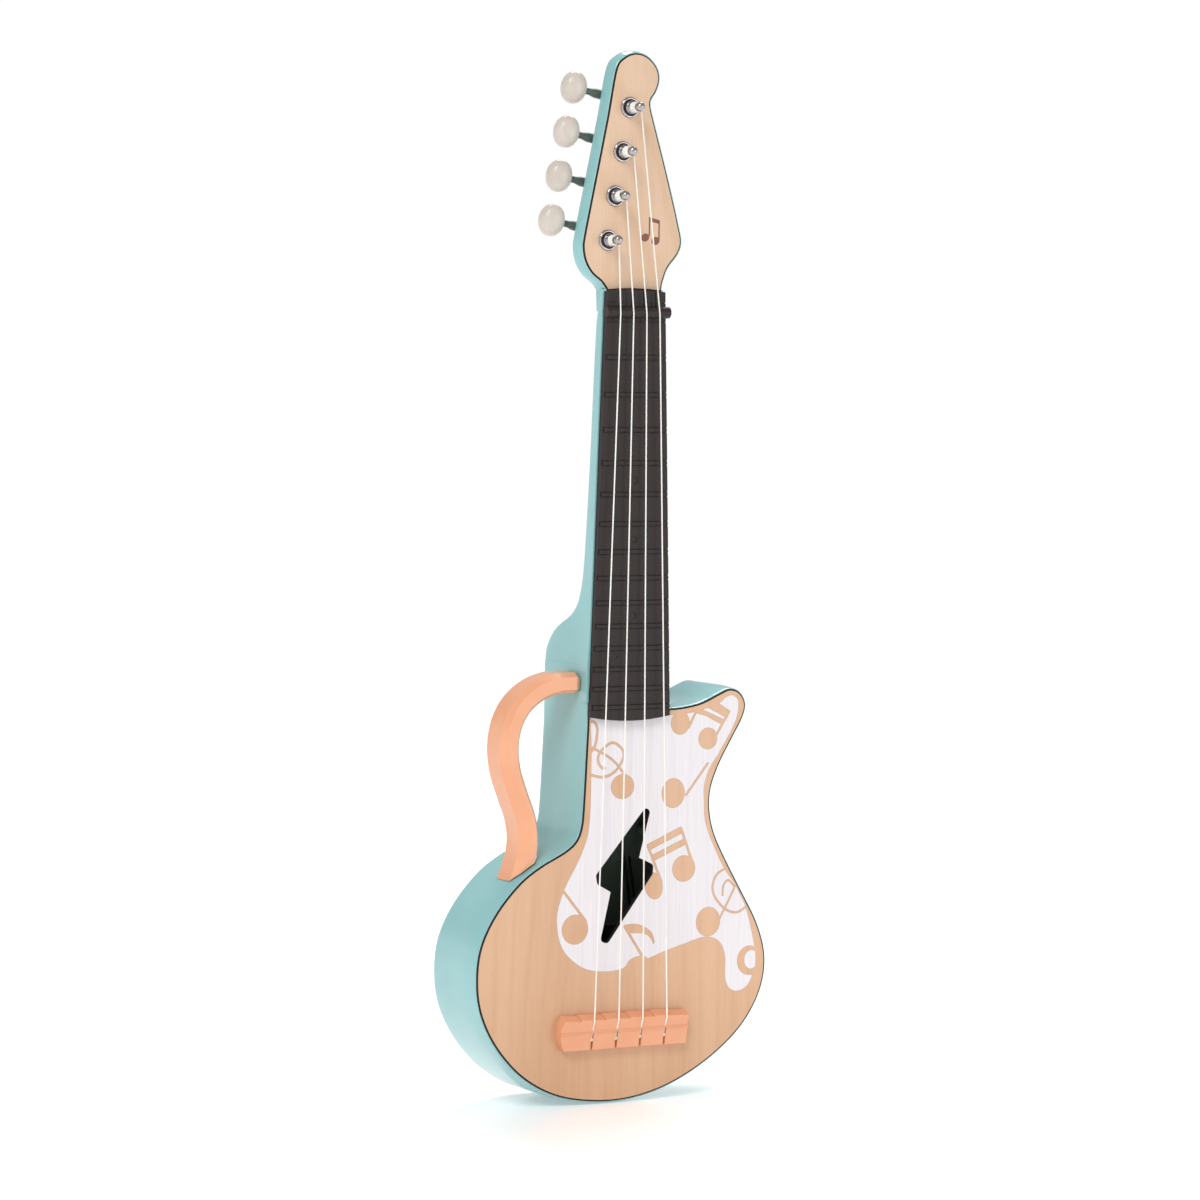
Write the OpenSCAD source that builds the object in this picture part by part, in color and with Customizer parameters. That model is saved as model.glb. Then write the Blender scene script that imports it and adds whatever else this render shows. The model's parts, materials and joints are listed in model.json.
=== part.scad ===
// Toy guitar with four strings, standing upright.
// +Z runs up the neck, the front faces -Y, the treble side is +X.
// The origin is on the centre line, at the height of the body's lowest point.

/* [Body] */
// depth of the hollow body, from the front of the wood to the back face
body_depth = 60; // [56:1:64]
// wall of the moulded shell
wall = 2.6; // [2.2:0.1:3]
// width of the moulded rim round the wood
rim_w = 2.2; // [1.6:0.1:2.6]
// radius of the shell's rounded back edge
back_round = 7; // [5:0.5:8]
// thickness of the plywood
wood_t = 3; // [2.5:0.5:4]
// how far the plywood stands out in front of the rim
wood_proud = 0.8; // [0.4:0.1:1.2]

/* [Neck] */
// free length of the strings, from the nut to the bridge crest
scale_len = 440.5; // [438:0.5:442]
// thickness of the fretboard
board_t = 5; // [4:0.5:6]
// number of frets
fret_count = 14; // [12:1:14]
// height of a fret above the board
fret_h = 0.8; // [0.5:0.1:1.1]
// thickness of the headstock behind its wood facing
head_t = 9.5; // [8:0.5:11]

/* [Strings] */
// diameter of a string
string_d = 0.9; // [0.6:0.1:1.1]
// distance between two strings at the nut
gap_nut = 9.4; // [8.5:0.1:10]
// distance between two strings at the bridge
gap_bridge = 17.5; // [16:0.1:18]

/* [Handle] */
// depth of the handle, front to back
handle_w = 25; // [20:1:28]
// thickness of the handle across its bend
handle_t = 13; // [11:0.5:15]

/* [Tuners] */
// diameter of a tuning knob
knob_d = 20.6; // [17:0.2:22]
// length of a tuning knob along its shaft
knob_len = 16.6; // [14:0.2:18]

/* [Hidden] */
$fn = 48;
eps = 0.01;
fy = -22;
by = fy + body_depth;
rim_y = fy + wood_proud;
seat_y = fy + wood_t;
nut_z = 496;
saddle_z = nut_z - scale_len;
board_y = fy - board_t;
head_y = seat_y + head_t;
tilt = 11;
gear_dist = 6;
teeth = 14;
lead = 2 * PI * 3.9 / teeth;
gear_y = 5;
bay_x = 36;
bay_z = 84;
pcb_x = 12;
pcb_z = 164;
spk_x = -42;
spk_z = 84;

// Front outlines as points (x, z), counter-clockwise from the top left.
body_pts = [[-28.2, 240], [-29.3, 216], [-30.6, 190], [-32, 176], [-36, 167], [-44.5, 160.6],
  [-61, 152.4], [-76, 142], [-92, 124], [-102.3, 104], [-105, 83], [-101.8, 62], [-91, 40.9],
  [-73, 21.5], [-50, 8.4], [-24, 2.6], [4, 2.4], [33, 9.2], [62, 23.6], [86, 43], [100, 65],
  [103.6, 87], [97.6, 108.5], [85.6, 130], [73, 151.6], [64.3, 169], [60.8, 184],
  [61.6, 198], [67.6, 213.4], [76.5, 229], [84, 242], [86.2, 250.8], [82.2, 258],
  [74.8, 260.4], [66, 257.2], [54, 252.2], [40, 249.6], [28, 249]];
body_core = [-15, 96];
head_pts = [[20, 514], [20.9, 519], [24.5, 528], [31.5, 536.6], [34, 544.5], [31.6, 555.5],
  [27.6, 570.4], [21, 593], [13.8, 616.5], [10.6, 627.6], [10.8, 632.6], [14.4, 638.2],
  [16.6, 645.6], [14.6, 653], [8, 659.2], [-0.6, 661], [-9, 657.6], [-14.2, 650],
  [-19.1, 624], [-24.9, 595.8], [-30.6, 568.8], [-35, 547.5], [-36, 539.4], [-34.2, 531],
  [-29.6, 523.8], [-22.6, 518.4], [-19, 514]];
head_core = [-15, 602];
bolt_pts = [[15.2, 188.4], [17, 184.2], [9.4, 155.2], [20, 150.4], [19.6, 144.6], [-12.4, 102],
  [-17.4, 103.6], [-10.4, 134.6], [-20.2, 140], [-21.2, 145.6]];
handle_path = [[-26, 266.6], [-36, 266.9], [-47, 266.2], [-59.8, 261.6], [-70.6, 252.9],
  [-77.2, 241.2], [-79.6, 227], [-77.8, 212], [-72.6, 197], [-67.2, 183], [-65, 170.5],
  [-65.8, 159.5], [-69, 149], [-72.6, 140]];

function cat(a, b, c, d, t) = 0.5 * (2 * b + (c - a) * t + (2 * a - 5 * b + 4 * c - d) * t * t
  + (3 * b - a - 3 * c + d) * t * t * t);
function curve(p, n) = concat([for (i = [0:len(p) - 2]) for (k = [0:n - 1])
  cat(p[max(i - 1, 0)], p[i], p[i + 1], p[min(i + 2, len(p) - 1)], k / n)], [p[len(p) - 1]]);
function out_dir(p, i) = let (n = len(p), d = p[(i + 1) % n] - p[(i + n - 1) % n])
  [d[1], -d[0]] / norm(d);
function grown(p, by_mm) = [for (i = [0:len(p) - 1]) p[i] + by_mm * out_dir(p, i)];
function at_z(p, z) = [for (q = p) [q[0], q[1], z]];

wood_line = concat(curve(body_pts, 3), [[28, 262], [-28, 262]]);
shell_line = concat(curve(body_pts, 3), [[28, 270.9], [22.9, 276], [-22.9, 276], [-28, 270.9],
  [-28, 258]]);
veneer_line = curve(head_pts, 3);
head_line = concat([[-18.4, 502], [18.4, 502]], curve(head_pts, 3));

function back_levels(r, y1, y0) = concat([[rim_w - r, -y1 - 1]],
  [for (a = [0:22.5:90]) [rim_w - r + r * sin(a), r - r * cos(a) - y1]],
  [[rim_w, -y0 - 0.7], [rim_w - 0.7, -y0]]);
function heel_depth(z) = lookup(z, [[255, 60], [284, 60], [291, 57], [297, 52], [302, 44],
  [307, 34], [312, 28], [318, 24.6], [332, 22.4], [345, 21.3], [394, 19.4], [488, 16.7],
  [502, 15], [514, 12.6]])
  * body_depth / 60;
function heel_rx(z) = lookup(z, [[255, 7], [291, 7], [302, 9], [312, 14], [332, 24], [345, 30],
  [514, 30]]);
function heel_ry(z) = lookup(z, [[255, 7], [302, 7], [312, 9], [332, 12], [394, 12.4],
  [514, 11.2]]);
function board_half(z) = 28.6 - (z - 245.6) * (28.6 - 20.8) / (512.5 - 245.6);
function neck_half(z) = min(board_half(z) + lookup(z, [[270, 2.4], [300, 1.1]]), 29.9);
function post_x(i) = -4.1 - 4.87 * (i - 1);
function post_z(i) = 627.2 - 27.67 * (i - 1);
function string_x(i) = 2.5 - i;
function foot(y, t) = [-66 - 0.57 * t, y, 149.2 + 0.82 * t];
function fret_z(n) = nut_z - scale_len * (1 - pow(2, -n / 12));

// a flat piece whose outline is drawn in x and z, from depth y0 to depth y1
module slab(y0, y1) {
  translate([0, y1, 0])
    rotate([90, 0, 0])
      linear_extrude(y1 - y0)
        children();
}

// a solid that follows one outline, set in or out by the first value at each depth
module shaped(p, levels, core) {
  n = len(p);
  m = len(levels);
  rings = [for (l = levels) each at_z(grown(p, l[0]), l[1])];
  ends = [[core[0], core[1], levels[0][1]], [core[0], core[1], levels[m - 1][1]]];
  sides = [for (k = [0:m - 2]) for (i = [0:n - 1])
    [k * n + i, (k + 1) * n + i, (k + 1) * n + (i + 1) % n, k * n + (i + 1) % n]];
  low = [for (i = [0:n - 1]) [m * n, i, (i + 1) % n]];
  high = [for (i = [0:n - 1]) [m * n + 1, (m - 1) * n + (i + 1) % n, (m - 1) * n + i]];
  rotate([90, 0, 0])
    polyhedron(concat(rings, ends), concat(low, sides, high), convexity = 8);
}

// a solid through a list of closed sections with the same number of points
module through(sections) {
  n = len(sections[0]);
  m = len(sections);
  low = [[for (i = [0:n - 1]) i]];
  sides = [for (k = [0:m - 2]) for (i = [0:n - 1])
    [k * n + i, (k + 1) * n + i, (k + 1) * n + (i + 1) % n, k * n + (i + 1) % n]];
  high = [[for (i = [n - 1:-1:0]) (m - 1) * n + i]];
  polyhedron([for (s = sections) each s], concat(low, sides, high), convexity = 6);
}

// a straight round bar between two points
module bar(a, b, r) {
  d = b - a;
  translate(a)
    rotate([0, acos(d[2] / norm(d)), atan2(d[1], d[0])])
      cylinder(r = r, h = norm(d));
}

// a round bar along -Y or +Y from a point on the xz plane
module pin_y(x, z, y0, y1, r) {
  translate([x, y1, z])
    rotate([90, 0, 0])
      cylinder(r = r, h = y1 - y0);
}

// the frame of tuner i: x along its shaft to the knob, z to the back
module at_tuner(i) {
  translate([post_x(i), head_y, post_z(i)])
    rotate([0, 180 + tilt, 0])
      rotate([-90, 0, 0])
        children();
}

// one section across the neck or heel: flat front, side walls, rounded back corners
function neck_section(z) = let (w = neck_half(z), b = fy + heel_depth(z),
  rx = min(heel_rx(z), w), ry = heel_ry(z))
  concat([[-w, fy, z], [w, fy, z]],
    [for (a = [0:15:90]) [w - rx + rx * cos(a), b - ry + ry * sin(a), z]],
    [for (a = [90:15:180]) [rx - w + rx * cos(a), b - ry + ry * sin(a) + (a == 90 ? eps : 0), z]]);

// a shell with a rounded back edge and one flat back face at depth y1
module moulded(p, r, y1, core) {
  intersection() {
    shaped(p, back_levels(r, y1, rim_y), core);
    slab(rim_y - 1, y1)
      translate([-150, -10])
        square([300, 700]);
  }
}

module body_outside() {
  moulded(shell_line, back_round, by, body_core);
}

module head_outside() {
  moulded(head_line, 3, head_y, head_core);
}

module neck_outside() {
  through([for (z = [255, 276, 284, 291, 297, 302, 307, 312, 318, 325, 332, 345, 370, 394, 450, 488,
    502, 513.6])
    neck_section(z)]);
}

module back_shell() {
  color([0.62, 0.85, 0.86])
    difference() {
      union() {
        difference() {
          union() {
            body_outside();
            neck_outside();
            head_outside();
          }
          slab(seat_y + 2.4, by - back_round)
            polygon(grown(shell_line, rim_w - wall));
          slab(by - back_round - eps, by - wall)
            polygon(grown(shell_line, rim_w - wall - 2.6));
          slab(fy - 9, seat_y + 3)
            polygon(grown(wood_line, -7));
        }
        // ring that holds the speaker
        difference() {
          pin_y(spk_x, spk_z, by - wall - 5, by - wall + eps, 28);
          pin_y(spk_x, spk_z, by - wall - 6, by, 26.3);
        }
        // posts for the main board
        for (dx = [-31, 31])
          for (dz = [-13, 13])
            pin_y(pcb_x + dx, pcb_z + dz, 29.6, by - wall + eps, 3);
        // posts behind the bridge and the shoulder that carry the wooden front
        pin_y(-60, 60, seat_y, by - wall + eps, 4);
        pin_y(72, 60, seat_y, by - wall + eps, 4);
      }
      // seats for the two plywood parts
      slab(fy - 9, seat_y)
        polygon(grown(wood_line, 0.15));
      slab(fy - 9, seat_y)
        polygon(grown(veneer_line, 0.15));
      // channel in the neck for the light board
      translate([-13, fy - 1, 266])
        cube([26, 7.4, 238]);
      // holes for the string posts
      for (i = [1:4])
        pin_y(post_x(i), post_z(i), seat_y - 1, head_y + 1, 4.4);
      // battery opening and the two holes for the hinge pins of its door
      translate([bay_x - 30, by - wall - 1, bay_z - 19])
        cube([60, wall + 2, 38]);
      translate([bay_x - 28.5, by - wall / 2, bay_z - 20.6])
        cylinder(r = 0.78, h = 41.2);
      // holes in front of the speaker
      for (ring = [0:2])
        for (a = [0:60 / max(ring, 1):359])
          pin_y(spk_x + 7 * ring * cos(a), spk_z + 7 * ring * sin(a), by - wall - 1, by + 1, 1.6);
      // slot for the power switch and holes for the two buttons
      translate([pcb_x - 29, by - wall - 1, pcb_z - 3])
        cube([16, wall + 2, 6]);
      pin_y(pcb_x + 4, pcb_z, by - wall - 1, by + 1, 6);
      pin_y(pcb_x + 21, pcb_z, by - wall - 1, by + 1, 6);
      // holes for the board screws
      for (dx = [-31, 31])
        for (dz = [-13, 13])
          pin_y(pcb_x + dx, pcb_z + dz, 29, 34.6, 1.1);
      // holes for the handle screws
      for (y = [-10, 2]) {
        bar([-36, y, 266.6], [-10, y, 266.6], 1.5);
        bar(foot(y, -4), foot(y, 4), 1.3);
      }
      // holes for the screws of the tuner plates
      for (i = [1:4])
        for (y = [-7.2, 11.6])
          at_tuner(i)
            translate([0, y, -7.2])
              cylinder(r = 1.2, h = 9);
    }
}

module soundboard() {
  color([0.93, 0.78, 0.6])
    difference() {
      slab(fy, seat_y)
        polygon(wood_line);
      slab(fy - 1, seat_y + 1)
        offset(r = 2.4, $fn = 24)
          offset(delta = -2.4)
            polygon(bolt_pts);
    }
}

module headstock_veneer() {
  color([0.93, 0.78, 0.6])
    difference() {
      slab(fy, seat_y)
        polygon(veneer_line);
      for (i = [1:4])
        pin_y(post_x(i), post_z(i), fy - 1, seat_y + 1, 4.4);
    }
}

// a fretboard outline; the second value sets its long edges in
module board_outline(inset) {
  w0 = board_half(245.6) - inset;
  w1 = board_half(512.5) - inset;
  arch0 = [for (k = [0:8]) [-w0 + w0 * k / 4, 245.6 - 2.6 * (1 - pow(k / 4 - 1, 2))]];
  arch1 = [for (k = [0:8]) [w1 - w1 * k / 4, 512.4 + 1.2 * (1 - pow(k / 4 - 1, 2))]];
  polygon(concat(arch0, arch1));
}

module board_dome(extra) {
  translate([0, board_y + 320, 200])
    cylinder(r = 320 + extra, h = 340, $fn = 900);
}

module fretboard() {
  color([0.28, 0.24, 0.23])
    difference() {
      union() {
        intersection() {
          slab(board_y - 3, fy)
            board_outline(0);
          board_dome(0);
        }
        intersection() {
          slab(board_y - 3, fy - 2)
            intersection() {
              board_outline(0.8);
              for (n = [1:fret_count])
                translate([-40, fret_z(n) - 1.1])
                  square([80, 2.2]);
            }
          board_dome(fret_h);
        }
      }
      // groove under the nut
      translate([-30, board_y - 5, 495.9])
        cube([60, 8.1, 7.4]);
      // marker dots
      for (n = [5, 7, 10])
        pin_y(0, fret_z(n - 0.45), board_y - 1, board_y + 0.5, 2.4);
      for (x = [-13, 13])
        pin_y(x, fret_z(11.4), board_y - 1, board_y + 0.5, 2.4);
      // string slots above the nut
      for (i = [1:4])
        translate([gap_nut * string_x(i) * 0.93, board_y - 1, 500])
          rotate([0, -gap_nut * string_x(i) * 0.2, 0])
            translate([-1.1, 0, 0])
              cube([2.2, 1.8, 20]);
    }
}

module nut() {
  color([0.26, 0.22, 0.21])
    difference() {
      union() {
        bar([-21.6, board_y - 0.6, 499.6], [21.6, board_y - 0.6, 499.6], 3.7);
        for (x = [-21.6, 21.6])
          intersection() {
            translate([x, board_y - 0.6, 499.6])
              sphere(r = 3.7);
            translate([x, board_y - 0.6, 499.6])
              cube([2, 9, 9], center = true);
          }
      }
      for (i = [1:4])
        bar([gap_nut * string_x(i), board_y - 4.3, 490],
          [gap_nut * string_x(i), board_y - 4.1, 510], 0.7);
    }
}

module bridge() {
  z0 = saddle_z;
  color([0.97, 0.73, 0.58])
    difference() {
      intersection() {
        translate([-60, 0, 0])
          rotate([90, 0, 90])
            linear_extrude(120)
              polygon([[fy, z0 + 2.9], [fy - 3, z0 + 2.9], [fy - 9.2, z0], [fy - 9, z0 - 1.6],
                [fy - 7.8, z0 - 4.6], [fy - 7.6, z0 - 7], [fy - 8.4, z0 - 8], [fy - 7.2, z0 - 9.4],
                [fy - 5.6, z0 - 19.4], [fy, z0 - 19.4]]);
        slab(fy - 12, fy)
          union() {
            translate([-40, z0 - 22])
              square([82.6, 28]);
            translate([-30.2, z0 - 8.6])
              circle(r = 18.9, $fn = 120);
          }
      }
      for (i = [1:4]) {
        // slot that holds the knot, and the notch in the crest
        translate([gap_bridge * string_x(i) - 0.8, fy - 12, z0 - 20])
          cube([1.6, 9.6, 11.4]);
        bar([gap_bridge * string_x(i), fy - 9.7, z0 + 4],
          [gap_bridge * string_x(i), fy - 9.3, z0 - 12], 0.8);
        bar([gap_bridge * string_x(i), fy - 9.6, z0 - 0.5],
          [gap_bridge * string_x(i), fy - 4.6, z0 - 14.1], 0.7);
      }
      for (i = [1:4])
        pin_y(gap_bridge * string_x(i), z0 - 13, fy - 12, fy - 2.4, 1.6);
    }
}

// string i, from its knot in the bridge over the crest and the nut to its post
module string_line(i) {
  xb = gap_bridge * string_x(i);
  xn = gap_nut * string_x(i);
  knot = [xb, fy - 5, saddle_z - 13];
  crest = [xb, fy - 9.4, saddle_z - 1];
  over = [xn, board_y - 4.3, 499];
  end = [post_x(i) + 3.95, head_y - 19.6, post_z(i) - 0.6];
  color([0.95, 0.94, 0.92]) {
    bar(knot, crest, string_d / 2);
    bar(crest, over, string_d / 2);
    bar(over, end, string_d / 2);
    translate(knot)
      sphere(r = 1.3);
    translate(crest)
      sphere(r = string_d / 2 + 0.04);
    translate(over)
      sphere(r = string_d / 2 + 0.04);
  }
}

module string_1() {
  string_line(1);
}

module string_2() {
  string_line(2);
}

module string_3() {
  string_line(3);
}

module string_4() {
  string_line(4);
}

// one eight-sided section across the handle at point k of its path
function handle_section(p, k) = let (d = -out_dir(p, k), t = handle_t / 2, w = handle_w / 2)
  [for (c = [[1, 0.66], [0.5, 1], [-0.66, 1], [-1, 0.77], [-1, -0.77], [-0.66, -1], [0.5, -1],
    [1, -0.66]])
    [p[k][0] + d[0] * t * c[0], -4 + w * c[1], p[k][1] + d[1] * t * c[0]]];

module carry_handle() {
  line = curve(handle_path, 3);
  color([0.97, 0.73, 0.58])
    difference() {
      through([for (k = [1:len(line) - 2]) handle_section(line, k)]);
      shaped(shell_line, [[rim_w + 0.05, -by - 1], [rim_w + 0.05, 30]], body_core);
      translate([-30.25, -30, 250])
        cube([40, 80, 40]);
      for (y = [-10, 2]) {
        bar([-45, y, 266.6], [-20, y, 266.6], 1.1);
        bar(foot(y, 0), foot(y, 8.5), 1.1);
      }
    }
}

module handle_screws() {
  color([0.55, 0.56, 0.58])
    for (y = [-10, 2]) {
      bar([-44, y, 266.6], [-27.2, y, 266.6], 1.1);
      bar([-27.5, y, 266.6], [-25.5, y, 266.6], 2.6);
      bar(foot(y, -0.8), foot(y, 8), 1.1);
      bar(foot(y, -2.6), foot(y, -0.6), 2.6);
    }
}

module post_bushings() {
  color([0.8, 0.8, 0.82])
    for (i = [1:4])
      at_tuner(i)
        rotate_extrude()
          polygon([[2.95, -5], [4.4, -5], [4.4, -12.5], [6.1, -12.5], [6.1, -13.4], [5.3, -14.3],
            [4.5, -14.4], [4.4, -15.3], [3.9, -15.8], [2.95, -15.8]]);
}

module tuner_plate(i) {
  color([0.62, 0.63, 0.65])
    at_tuner(i)
      difference() {
        union() {
          translate([-8, -9.5, 0])
            cube([16, 23.5, 1.2]);
          for (x = [-7, 5.4])
            translate([x, 3, 0])
              cube([1.6, 6, 8]);
        }
        translate([0, 0, -1])
          cylinder(r = 3.25, h = 4);
        translate([0, -7.2, -1])
          cylinder(r = 1.3, h = 4);
        translate([0, 11.6, -1])
          cylinder(r = 1.3, h = 4);
        translate([-9, gear_dist, gear_y])
          rotate([0, 90, 0])
            cylinder(r = 1.55, h = 18);
      }
}

module tuner_plate_1() {
  tuner_plate(1);
}

module tuner_plate_2() {
  tuner_plate(2);
}

module tuner_plate_3() {
  tuner_plate(3);
}

module tuner_plate_4() {
  tuner_plate(4);
}

module tuner_screws() {
  color([0.6, 0.61, 0.63])
    for (i = [1:4])
      for (y = [-7.2, 11.6])
        at_tuner(i)
          difference() {
            union() {
              translate([0, y, -7])
                cylinder(r = 1.2, h = 8.4);
              translate([0, y, 1.2])
                cylinder(r = 2.1, h = 0.9);
              translate([0, y, 2.1])
                cylinder(r1 = 2.1, r2 = 1.3, h = 0.6);
            }
            translate([-0.3, y - 1.4, 1.9])
              cube([0.6, 2.8, 2]);
            translate([-1.4, y - 0.3, 1.9])
              cube([2.8, 0.6, 2]);
          }
}

// string post with its ball tip in front and its toothed wheel at the back
module post_gear(i) {
  color([0.82, 0.82, 0.84])
    at_tuner(i)
      difference() {
        union() {
          rotate_extrude()
            polygon([[0, 6.8], [2.9, 6.8], [2.9, -16.1], [3.9, -16.1], [3.9, -17], [2.7, -17.8],
              [2.4, -18.4], [2.4, -21], [2.7, -22], [0, -22]]);
          translate([0, 0, -23.6])
            cylinder(r = 2.2, h = 4);
          translate([0, 0, -25.3])
            sphere(r = 3.1);
          translate([0, 0, 3.6])
            linear_extrude(2.8)
              union() {
                circle(r = 3.05);
                for (k = [0:teeth - 1])
                  rotate(k * 360 / teeth)
                    translate([0, 2.9])
                      polygon([[-0.42, 0], [0.42, 0], [0.24, 1.25], [-0.24, 1.25]]);
              }
        }
        translate([0, 0, 1.5])
          cylinder(r = 1, h = 6);
      }
}

module post_gear_1() {
  post_gear(1);
}

module post_gear_2() {
  post_gear(2);
}

module post_gear_3() {
  post_gear(3);
}

module post_gear_4() {
  post_gear(4);
}

// two turns of string on the post
module string_wrap(i) {
  color([0.95, 0.94, 0.92])
    at_tuner(i)
      translate([0, 0, -20.1])
        rotate_extrude()
          polygon([[2.4, -0.9], [3.15, -0.9], [3.3, -0.45], [3.15, 0], [3.3, 0.45], [3.15, 0.9],
            [2.4, 0.9]]);
}

module string_wrap_1() {
  string_wrap(1);
}

module string_wrap_2() {
  string_wrap(2);
}

module string_wrap_3() {
  string_wrap(3);
}

module string_wrap_4() {
  string_wrap(4);
}

module gear_screw(i) {
  color([0.6, 0.61, 0.63])
    at_tuner(i)
      difference() {
        union() {
          translate([0, 0, 2])
            cylinder(r = 1, h = 5);
          translate([0, 0, 6.8])
            cylinder(r = 2.3, h = 1);
        }
        translate([-3, -0.35, 7.3])
          cube([6, 0.7, 1]);
      }
}

module gear_screw_1() {
  gear_screw(1);
}

module gear_screw_2() {
  gear_screw(2);
}

module gear_screw_3() {
  gear_screw(3);
}

module gear_screw_4() {
  gear_screw(4);
}

// worm thread round the x axis, centred on the wheel
module worm_thread() {
  steps = 16;
  turns = 4;
  n = steps * turns;
  through([for (k = [0:n]) let (a = 360 * k / steps, x = lead * (k / steps - turns / 2),
    c = cos(a), s = sin(a))
    [[x + 0.42, 1.1 * c, 1.1 * s], [x + 0.2, 2.7 * c, 2.7 * s],
      [x - 0.2, 2.7 * c, 2.7 * s], [x - 0.42, 1.1 * c, 1.1 * s]]]);
}

module worm_shaft(i) {
  color([0.42, 0.47, 0.44])
    at_tuner(i)
      translate([0, gear_dist, gear_y]) {
        worm_thread();
        rotate([0, 90, 0]) {
          translate([0, 0, -7.6])
            cylinder(r = 1.5, h = 15.2);
          translate([0, 0, 7.3])
            cylinder(r = 3.1, h = 9.7);
          translate([0, 0, 17])
            cylinder(r1 = 3.1, r2 = 2.2, h = 4);
          translate([0, 0, 21])
            cylinder(r = 2.2, h = 3.2);
          translate([0, 0, 24])
            cylinder(r = 1.6, h = 9);
        }
      }
}

module worm_shaft_1() {
  worm_shaft(1);
}

module worm_shaft_2() {
  worm_shaft(2);
}

module worm_shaft_3() {
  worm_shaft(3);
}

module worm_shaft_4() {
  worm_shaft(4);
}

module knob(i) {
  a = knob_len / 2;
  r = knob_d / 2;
  color([0.9, 0.86, 0.82])
    at_tuner(i)
      translate([32.5, gear_dist, gear_y])
        rotate([0, 90, 0])
          difference() {
            intersection() {
              rotate_extrude()
                polygon(concat([[0, -a]], [for (t = [-72:12:72]) [r * cos(t), a * sin(t)]],
                  [[0, a]]));
              cube([13.5, 40, 40], center = true);
            }
            translate([0, 0, -a - 1])
              cylinder(r = 1.6, h = a + 1.5);
          }
}

module knob_1() {
  knob(1);
}

module knob_2() {
  knob(2);
}

module knob_3() {
  knob(3);
}

module knob_4() {
  knob(4);
}

module battery_tray() {
  color([0.2, 0.22, 0.22])
    difference() {
      translate([bay_x - 32, by - wall - 16, bay_z - 21])
        cube([64, 16, 42]);
      translate([bay_x - 30, by - wall - 14, bay_z - 17])
        cube([50, 15, 34]);
      translate([bay_x + 25, by - wall - 9, bay_z])
        rotate([-90, 0, 0])
          cylinder(r = 1.75, h = 10);
    }
}

module battery_cells() {
  color([0.15, 0.35, 0.6])
    for (k = [-1:1])
      translate([bay_x - 27 + (k == 0 ? 0 : 0.6), by - wall - 7.6, bay_z + 11.2 * k])
        rotate([0, 90, 0]) {
          cylinder(r = 5.2, h = 43);
          translate([0, 0, 43])
            cylinder(r = 1.9, h = 1);
        }
}

module battery_contacts() {
  color([0.75, 0.75, 0.72]) {
    for (k = [-1:1])
      translate([bay_x - 29.9, by - wall - 12, bay_z + 11.2 * k - 4])
        cube([0.4, 8, 8]);
    for (k = [-1:1])
      translate([bay_x - 29.5, by - wall - 7.6, bay_z + 11.2 * k])
        rotate([0, 90, 0])
          difference() {
            cylinder(r1 = 3.4, r2 = 2.2, h = 2.4);
            translate([0, 0, -1])
              cylinder(r1 = 2.8, r2 = 1.6, h = 4.4);
          }
    for (k = [-1:1])
      translate([bay_x + 18.4, by - wall - 12, bay_z + 11.2 * k - 4])
        cube([0.4, 8, 8]);
  }
}

module battery_door() {
  x0 = bay_x - 28.5;
  y0 = by - wall / 2;
  color([0.62, 0.85, 0.86])
    difference() {
      union() {
        translate([x0, y0 - 1.2, bay_z - 18.7])
          cube([58.2, 2.4, 37.4]);
        translate([x0, y0, bay_z - 18.7])
          cylinder(r = 1.2, h = 37.4);
        translate([x0, y0, bay_z - 20.2])
          cylinder(r = 0.7, h = 40.4);
      }
      pin_y(bay_x + 25, bay_z, by - 6, by + 1, 1.6);
      pin_y(bay_x + 25, bay_z, y0, by + 1, 2.6);
      for (k = [-4:4])
        translate([x0 + 10 + 4 * k + 10, y0 + 0.8, bay_z - 12])
          cube([1.6, 2, 24]);
    }
}

module door_screw() {
  y0 = by - wall / 2;
  color([0.6, 0.61, 0.63])
    difference() {
      union() {
        pin_y(bay_x + 25, bay_z, y0 + 0.1, y0 + 1, 2.3);
        pin_y(bay_x + 25, bay_z, y0 - 4.6, y0 + 0.5, 1.3);
      }
      translate([bay_x + 23.4, y0 + 0.6, bay_z - 0.3])
        cube([3.2, 1, 0.6]);
      translate([bay_x + 24.7, y0 + 0.6, bay_z - 1.6])
        cube([0.6, 1, 3.2]);
    }
}

module main_board() {
  color([0.1, 0.35, 0.2])
    difference() {
      union() {
        translate([pcb_x - 35, 28, pcb_z - 17])
          cube([70, 1.6, 34]);
        for (x = [4, 21])
          translate([pcb_x + x - 3, 29.6, pcb_z - 3])
            cube([6, 1.6, 6]);
        translate([pcb_x - 26, 29.6, pcb_z - 5])
          cube([10, 2, 10]);
        translate([pcb_x - 12, 26.4, pcb_z - 5])
          cube([10, 1.7, 10]);
        translate([pcb_x + 8, 26.8, pcb_z - 10])
          cube([6, 1.3, 5]);
        pin_y(pcb_x + 27, pcb_z + 4, 20, 28, 3.2);
      }
      for (dx = [-31, 31])
        for (dz = [-13, 13])
          pin_y(pcb_x + dx, pcb_z + dz, 27, 31, 1.2);
    }
}

module board_screws() {
  color([0.6, 0.61, 0.63])
    for (dx = [-31, 31])
      for (dz = [-13, 13]) {
        pin_y(pcb_x + dx, pcb_z + dz, 27.6, 34.4, 1.1);
        pin_y(pcb_x + dx, pcb_z + dz, 26.6, 28, 2.2);
      }
}

module led_board() {
  color([0.12, 0.3, 0.2]) {
    translate([-11.5, fy + 4, 272])
      cube([23, 1.4, 226]);
    for (n = [5, 7, 10])
      translate([-1.5, fy + 2.8, fret_z(n - 0.45) - 1.5])
        cube([3, 1.3, 3]);
  }
}

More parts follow.
